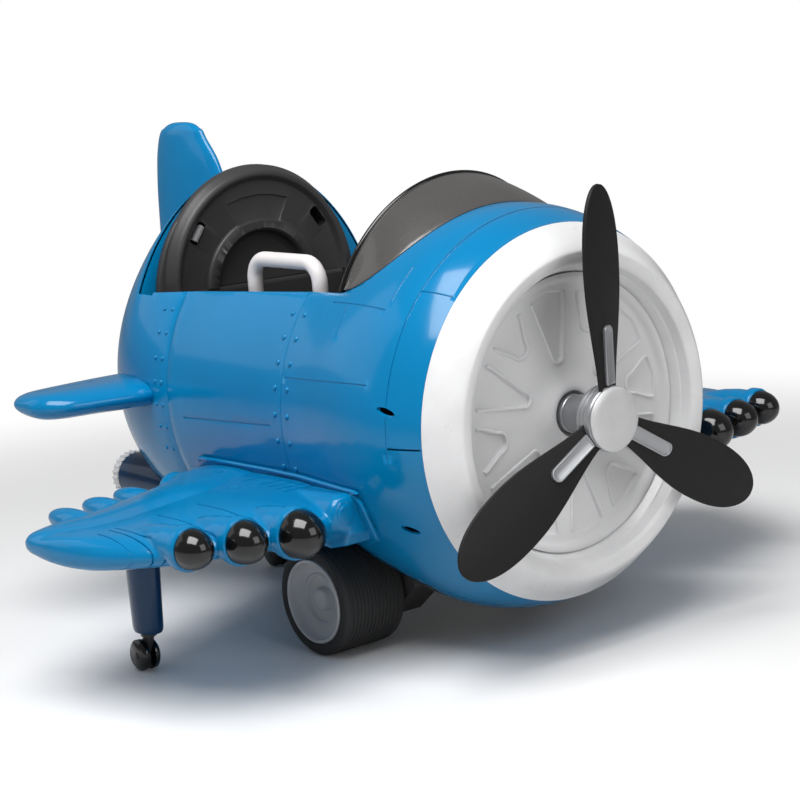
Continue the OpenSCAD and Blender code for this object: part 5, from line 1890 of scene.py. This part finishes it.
@dataclass
class DriveWheels:
    """The two drive wheels: grooved tyres and dished grey hubs.

    Attributes:
        place: Place and height of the axle.
        radius: Radius of a wheel.
        width: Width of a wheel.
        middle: Distance of a wheel's middle from the toy's middle.
        grooves: Grooves in the tread.
    """

    place: tuple[float, float] = (166.0, 70.0)
    radius: float = 70.0
    width: float = 95.0
    middle: float = WHEEL_Y
    grooves: int = 13

    def tyre(self) -> bpy.types.Object:
        """The left tyre, with fine grooves round its tread."""
        r, half = self.radius, self.width / 2
        pitch = (self.width - 20) / self.grooves
        tread = []
        for i in range(self.grooves):
            start = -half + 10 + pitch * i
            tread += [(r, start), (r, start + pitch * 0.56), (r - 1.3, start + pitch * 0.66),
                      (r - 1.3, start + pitch * 0.9)]
        side = [(60.1, -half + 5), (55, -half + 4.6), (54.6, -half + 2), (55.6, -half + 0.6), (58, -half),
                (63, -half), (66.5, -half + 0.8), (68.6, -half + 3), (69.7, -half + 6)]
        other = [(u, -t) for u, t in reversed(side)]
        piece = Bench.lathe("tyre_left", side + tread + other, (self.place[0], self.middle, self.place[1]),
                            Axis.Y,
                            128, closed=True)
        return Bench.shade(piece, 30)

    def hub(self) -> bpy.types.Object:
        """The left hub: rim, shoulder, deep dish and centre boss."""
        half = self.width / 2
        outline = [(5.1, -half + 4), (14, -half + 4), (14, half - 30), (52, half - 16), (52, -half + 5.6),
                   (59.9, -half + 5.6), (59.9, half - 5.4), (54, half - 5.4), (54, half - 0.4),
                   (53.2, half + 0.6), (51.6, half + 0.9), (50, half + 0.2), (49, half - 2.4),
                   (48.2, half - 8), (46, half - 10.4), (43.6, half - 11), (35, half - 13.6),
                   (33.6, half - 12.2), (31.4, half - 11.8), (29.8, half - 13.2),
                   (28.6, half - 16.6), (18.6, half - 20.5), (16, half - 21), (14.8, half - 19.6),
                   (13.6, half - 13.5), (12.2, half - 12), (9, half - 11.4), (6, half - 11.8),
                   (0, half - 13.5), (0, half - 19), (5.1, half - 19)]
        piece = Bench.lathe("hub_left", outline, (self.place[0], self.middle, self.place[1]), Axis.Y, 96,
                            closed=True)
        return Bench.shade(piece, 40)

    def build(self) -> None:
        """Builds the left wheel and mirrors it."""
        for piece, finish, node in ((self.tyre(), Finish.TYRE, "drive_tyre"),
                                    (self.hub(), Finish.HUB, "drive_hub")):
            other = Bench.mirrored(piece, piece.name.replace("left", "right"))
            dress(piece, finish, "drive_wheel_left", node + "_left")
            dress(other, finish, "drive_wheel_right", node + "_right")


@dataclass
class Mouldings:
    """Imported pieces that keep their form: copied, merged, softened at their edges and dressed.

    Attributes:
        frame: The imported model.
        edge: Width of the softened edges.
    """

    frame: dict
    edge: float = 0.7
    finishes: dict[str, Finish] = field(default_factory=lambda: {
        "belly_pan": Finish.BLACK, "cockpit_tub": Finish.BLACK, "dashboard": Finish.BLACK,
        "seat_base": Finish.BLACK, "gearbox_right": Finish.BLACK, "gearbox_left": Finish.BLACK,
        "joystick_right": Finish.BLACK, "joystick_left": Finish.BLACK, "start_button": Finish.GREEN,
        "horn_button": Finish.RED, "light_switch": Finish.RED, "speaker": Finish.BLACK,
        "wing_yoke_right": Finish.BLACK, "wing_yoke_left": Finish.BLACK,
        "rear_yoke": Finish.BLACK, "wing_wheel_right": Finish.POLISHED, "wing_wheel_left": Finish.POLISHED,
        "rear_wheel": Finish.POLISHED})
    inner: dict[str, Finish] = field(default_factory=lambda: {
        "propeller_motor": Finish.STEEL, "motor_shaft": Finish.STEEL, "drive_axle": Finish.STEEL,
        "drive_motors": Finish.STEEL, "handle_screws": Finish.STEEL, "battery": Finish.BLACK,
        "control_box": Finish.BLACK})

    def body_of(self, node: str) -> str:
        """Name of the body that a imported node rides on."""
        bodies = self.frame["record"]["behaviour"]["bodies"]
        return next(name for name, nodes in bodies.items() if node in nodes)

    def build(self) -> None:
        """Copies and softens what shows, and gives the hidden nodes their finish."""
        for node, finish in self.finishes.items():
            piece = Bench.cast(self.frame["nodes"][node], node + "_form")
            Bench.soften(piece, self.edge, 2, 40)
            dress(piece, finish, self.body_of(node), node)
        for node, finish in self.inner.items():
            for slot in self.frame["nodes"][node].material_slots:
                slot.material = finish.material()
            log.info("%s keeps its packed form", node)


@dataclass
class Studio:
    """Pale floor, soft light and the camera at the photograph's angle.

    Attributes:
        eye: Place of the camera in metres.
        right: The camera's right.
        up: The camera's up.
        forward: The camera's forward.
        lens: Focal length in millimetres on a 36 mm sensor.
    """

    eye: tuple[float, float, float] = (2.2322, -1.7142, 0.7803)
    right: tuple[float, float, float] = (0.63008, 0.77358, -0.06759)
    up: tuple[float, float, float] = (-0.09686, 0.16467, 0.98158)
    forward: tuple[float, float, float] = (-0.77046, 0.61193, -0.17869)
    lens: float = 94.0

    def camera(self) -> None:
        """Sets the camera."""
        data = bpy.data.cameras.new("view")
        data.lens = self.lens
        data.sensor_width = 36.0
        data.clip_end = 60.0
        camera = bpy.data.objects.new("view", data)
        bpy.context.scene.collection.objects.link(camera)
        columns = (Vector(self.right), Vector(self.up), -Vector(self.forward), Vector(self.eye))
        camera.matrix_world = Matrix([[c[i] for c in columns] for i in range(3)] + [[0, 0, 0, 1]])
        bpy.context.scene.camera = camera

    def floor(self) -> None:
        """A wide pale floor that turns to plain white far away."""
        Bench.clear()
        bpy.ops.mesh.primitive_plane_add(size=24)
        floor = bpy.context.object
        floor.name = floor.data.name = "floor"
        graph = Graph("floor_pale")
        _, x, y, _ = graph.place()
        away = (x * x + y * y) * 1e-6
        seen = self.seen(graph)
        shade = graph.mix(seen, (0.64, 0.64, 0.64, 1), (0.9, 0.9, 0.9, 1))
        pale = graph.node("ShaderNodeBsdfPrincipled", {}, {"Base Color": shade, "Roughness": 0.4})
        glow = graph.node("ShaderNodeEmission", {}, {"Color": (1, 1, 1, 1), "Strength": 1.0})
        share = away.ramp(0.7, 3.2) * seen
        graph.node_output(graph.node("ShaderNodeMixShader", {}, {0: share, 1: pale, 2: glow}))
        floor.data.materials.append(graph.material)

    @staticmethod
    def seen(graph: Graph) -> Value:
        """1 for rays that see the backdrop: from the camera and through glass."""
        camera, through = (graph.node("ShaderNodeLightPath", {}, {}, key) for key in
                           ("Is Camera Ray", "Is Transmission Ray"))
        return camera.most(through)

    def world(self) -> None:
        """A soft even world: white where it is seen, dimmer as light."""
        world = bpy.data.worlds.new("studio")
        bpy.context.scene.world = world
        world.use_nodes = True
        tree = world.node_tree
        tree.nodes.clear()
        graph = Graph.__new__(Graph)
        graph.tree = tree
        strength = self.seen(graph) * 0.8 + 0.2
        back = graph.node("ShaderNodeBackground", {}, {"Color": (1, 1, 1, 1), "Strength": strength})
        out = tree.nodes.new("ShaderNodeOutputWorld")
        tree.links.new(back.socket, out.inputs["Surface"])

    def lamp(self, name: str, place: Point, target: Point, size: float, power: float) -> None:
        """A square soft lamp that faces a point.

        Args:
            name: Its name.
            place: Its place in metres.
            target: What it faces, in metres.
            size: Its side in metres.
            power: Its power in watts.
        """
        data = bpy.data.lights.new(name, "AREA")
        data.size = size
        data.energy = power
        lamp = bpy.data.objects.new(name, data)
        lamp.location = place
        lamp.rotation_euler = (Vector(target) - Vector(place)).to_track_quat("-Z", "Y").to_euler()
        bpy.context.scene.collection.objects.link(lamp)

    def build(self) -> None:
        """Builds the studio."""
        self.camera()
        self.floor()
        self.world()
        self.lamp("key", (0.7, -1.3, 3.3), (0, 0, 0.3), 2.4, 145)
        self.lamp("side", (-2.6, -2.0, 2.0), (0, 0, 0.3), 2.4, 9)
        self.lamp("front", (3.4, 0.4, 1.8), (0.3, 0, 0.3), 2.2, 30)
        scene = bpy.context.scene
        scene.view_settings.view_transform = "Standard"


def main() -> None:
    """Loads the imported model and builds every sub-assembly."""
    logging.basicConfig(level=logging.INFO, format="%(message)s")
    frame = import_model()
    hull = Hull()
    parts = [Studio(), hull, Rivets(hull), Cowl(hull), Propeller(), Wings(hull), Tail(hull), Cockpit(hull),
             DriveWheels(), Mouldings(frame)]
    for part in parts:
        log.info("building %s", type(part).__name__)
        part.build()
    Bench.clear()


if __name__ == "__main__":
    main()
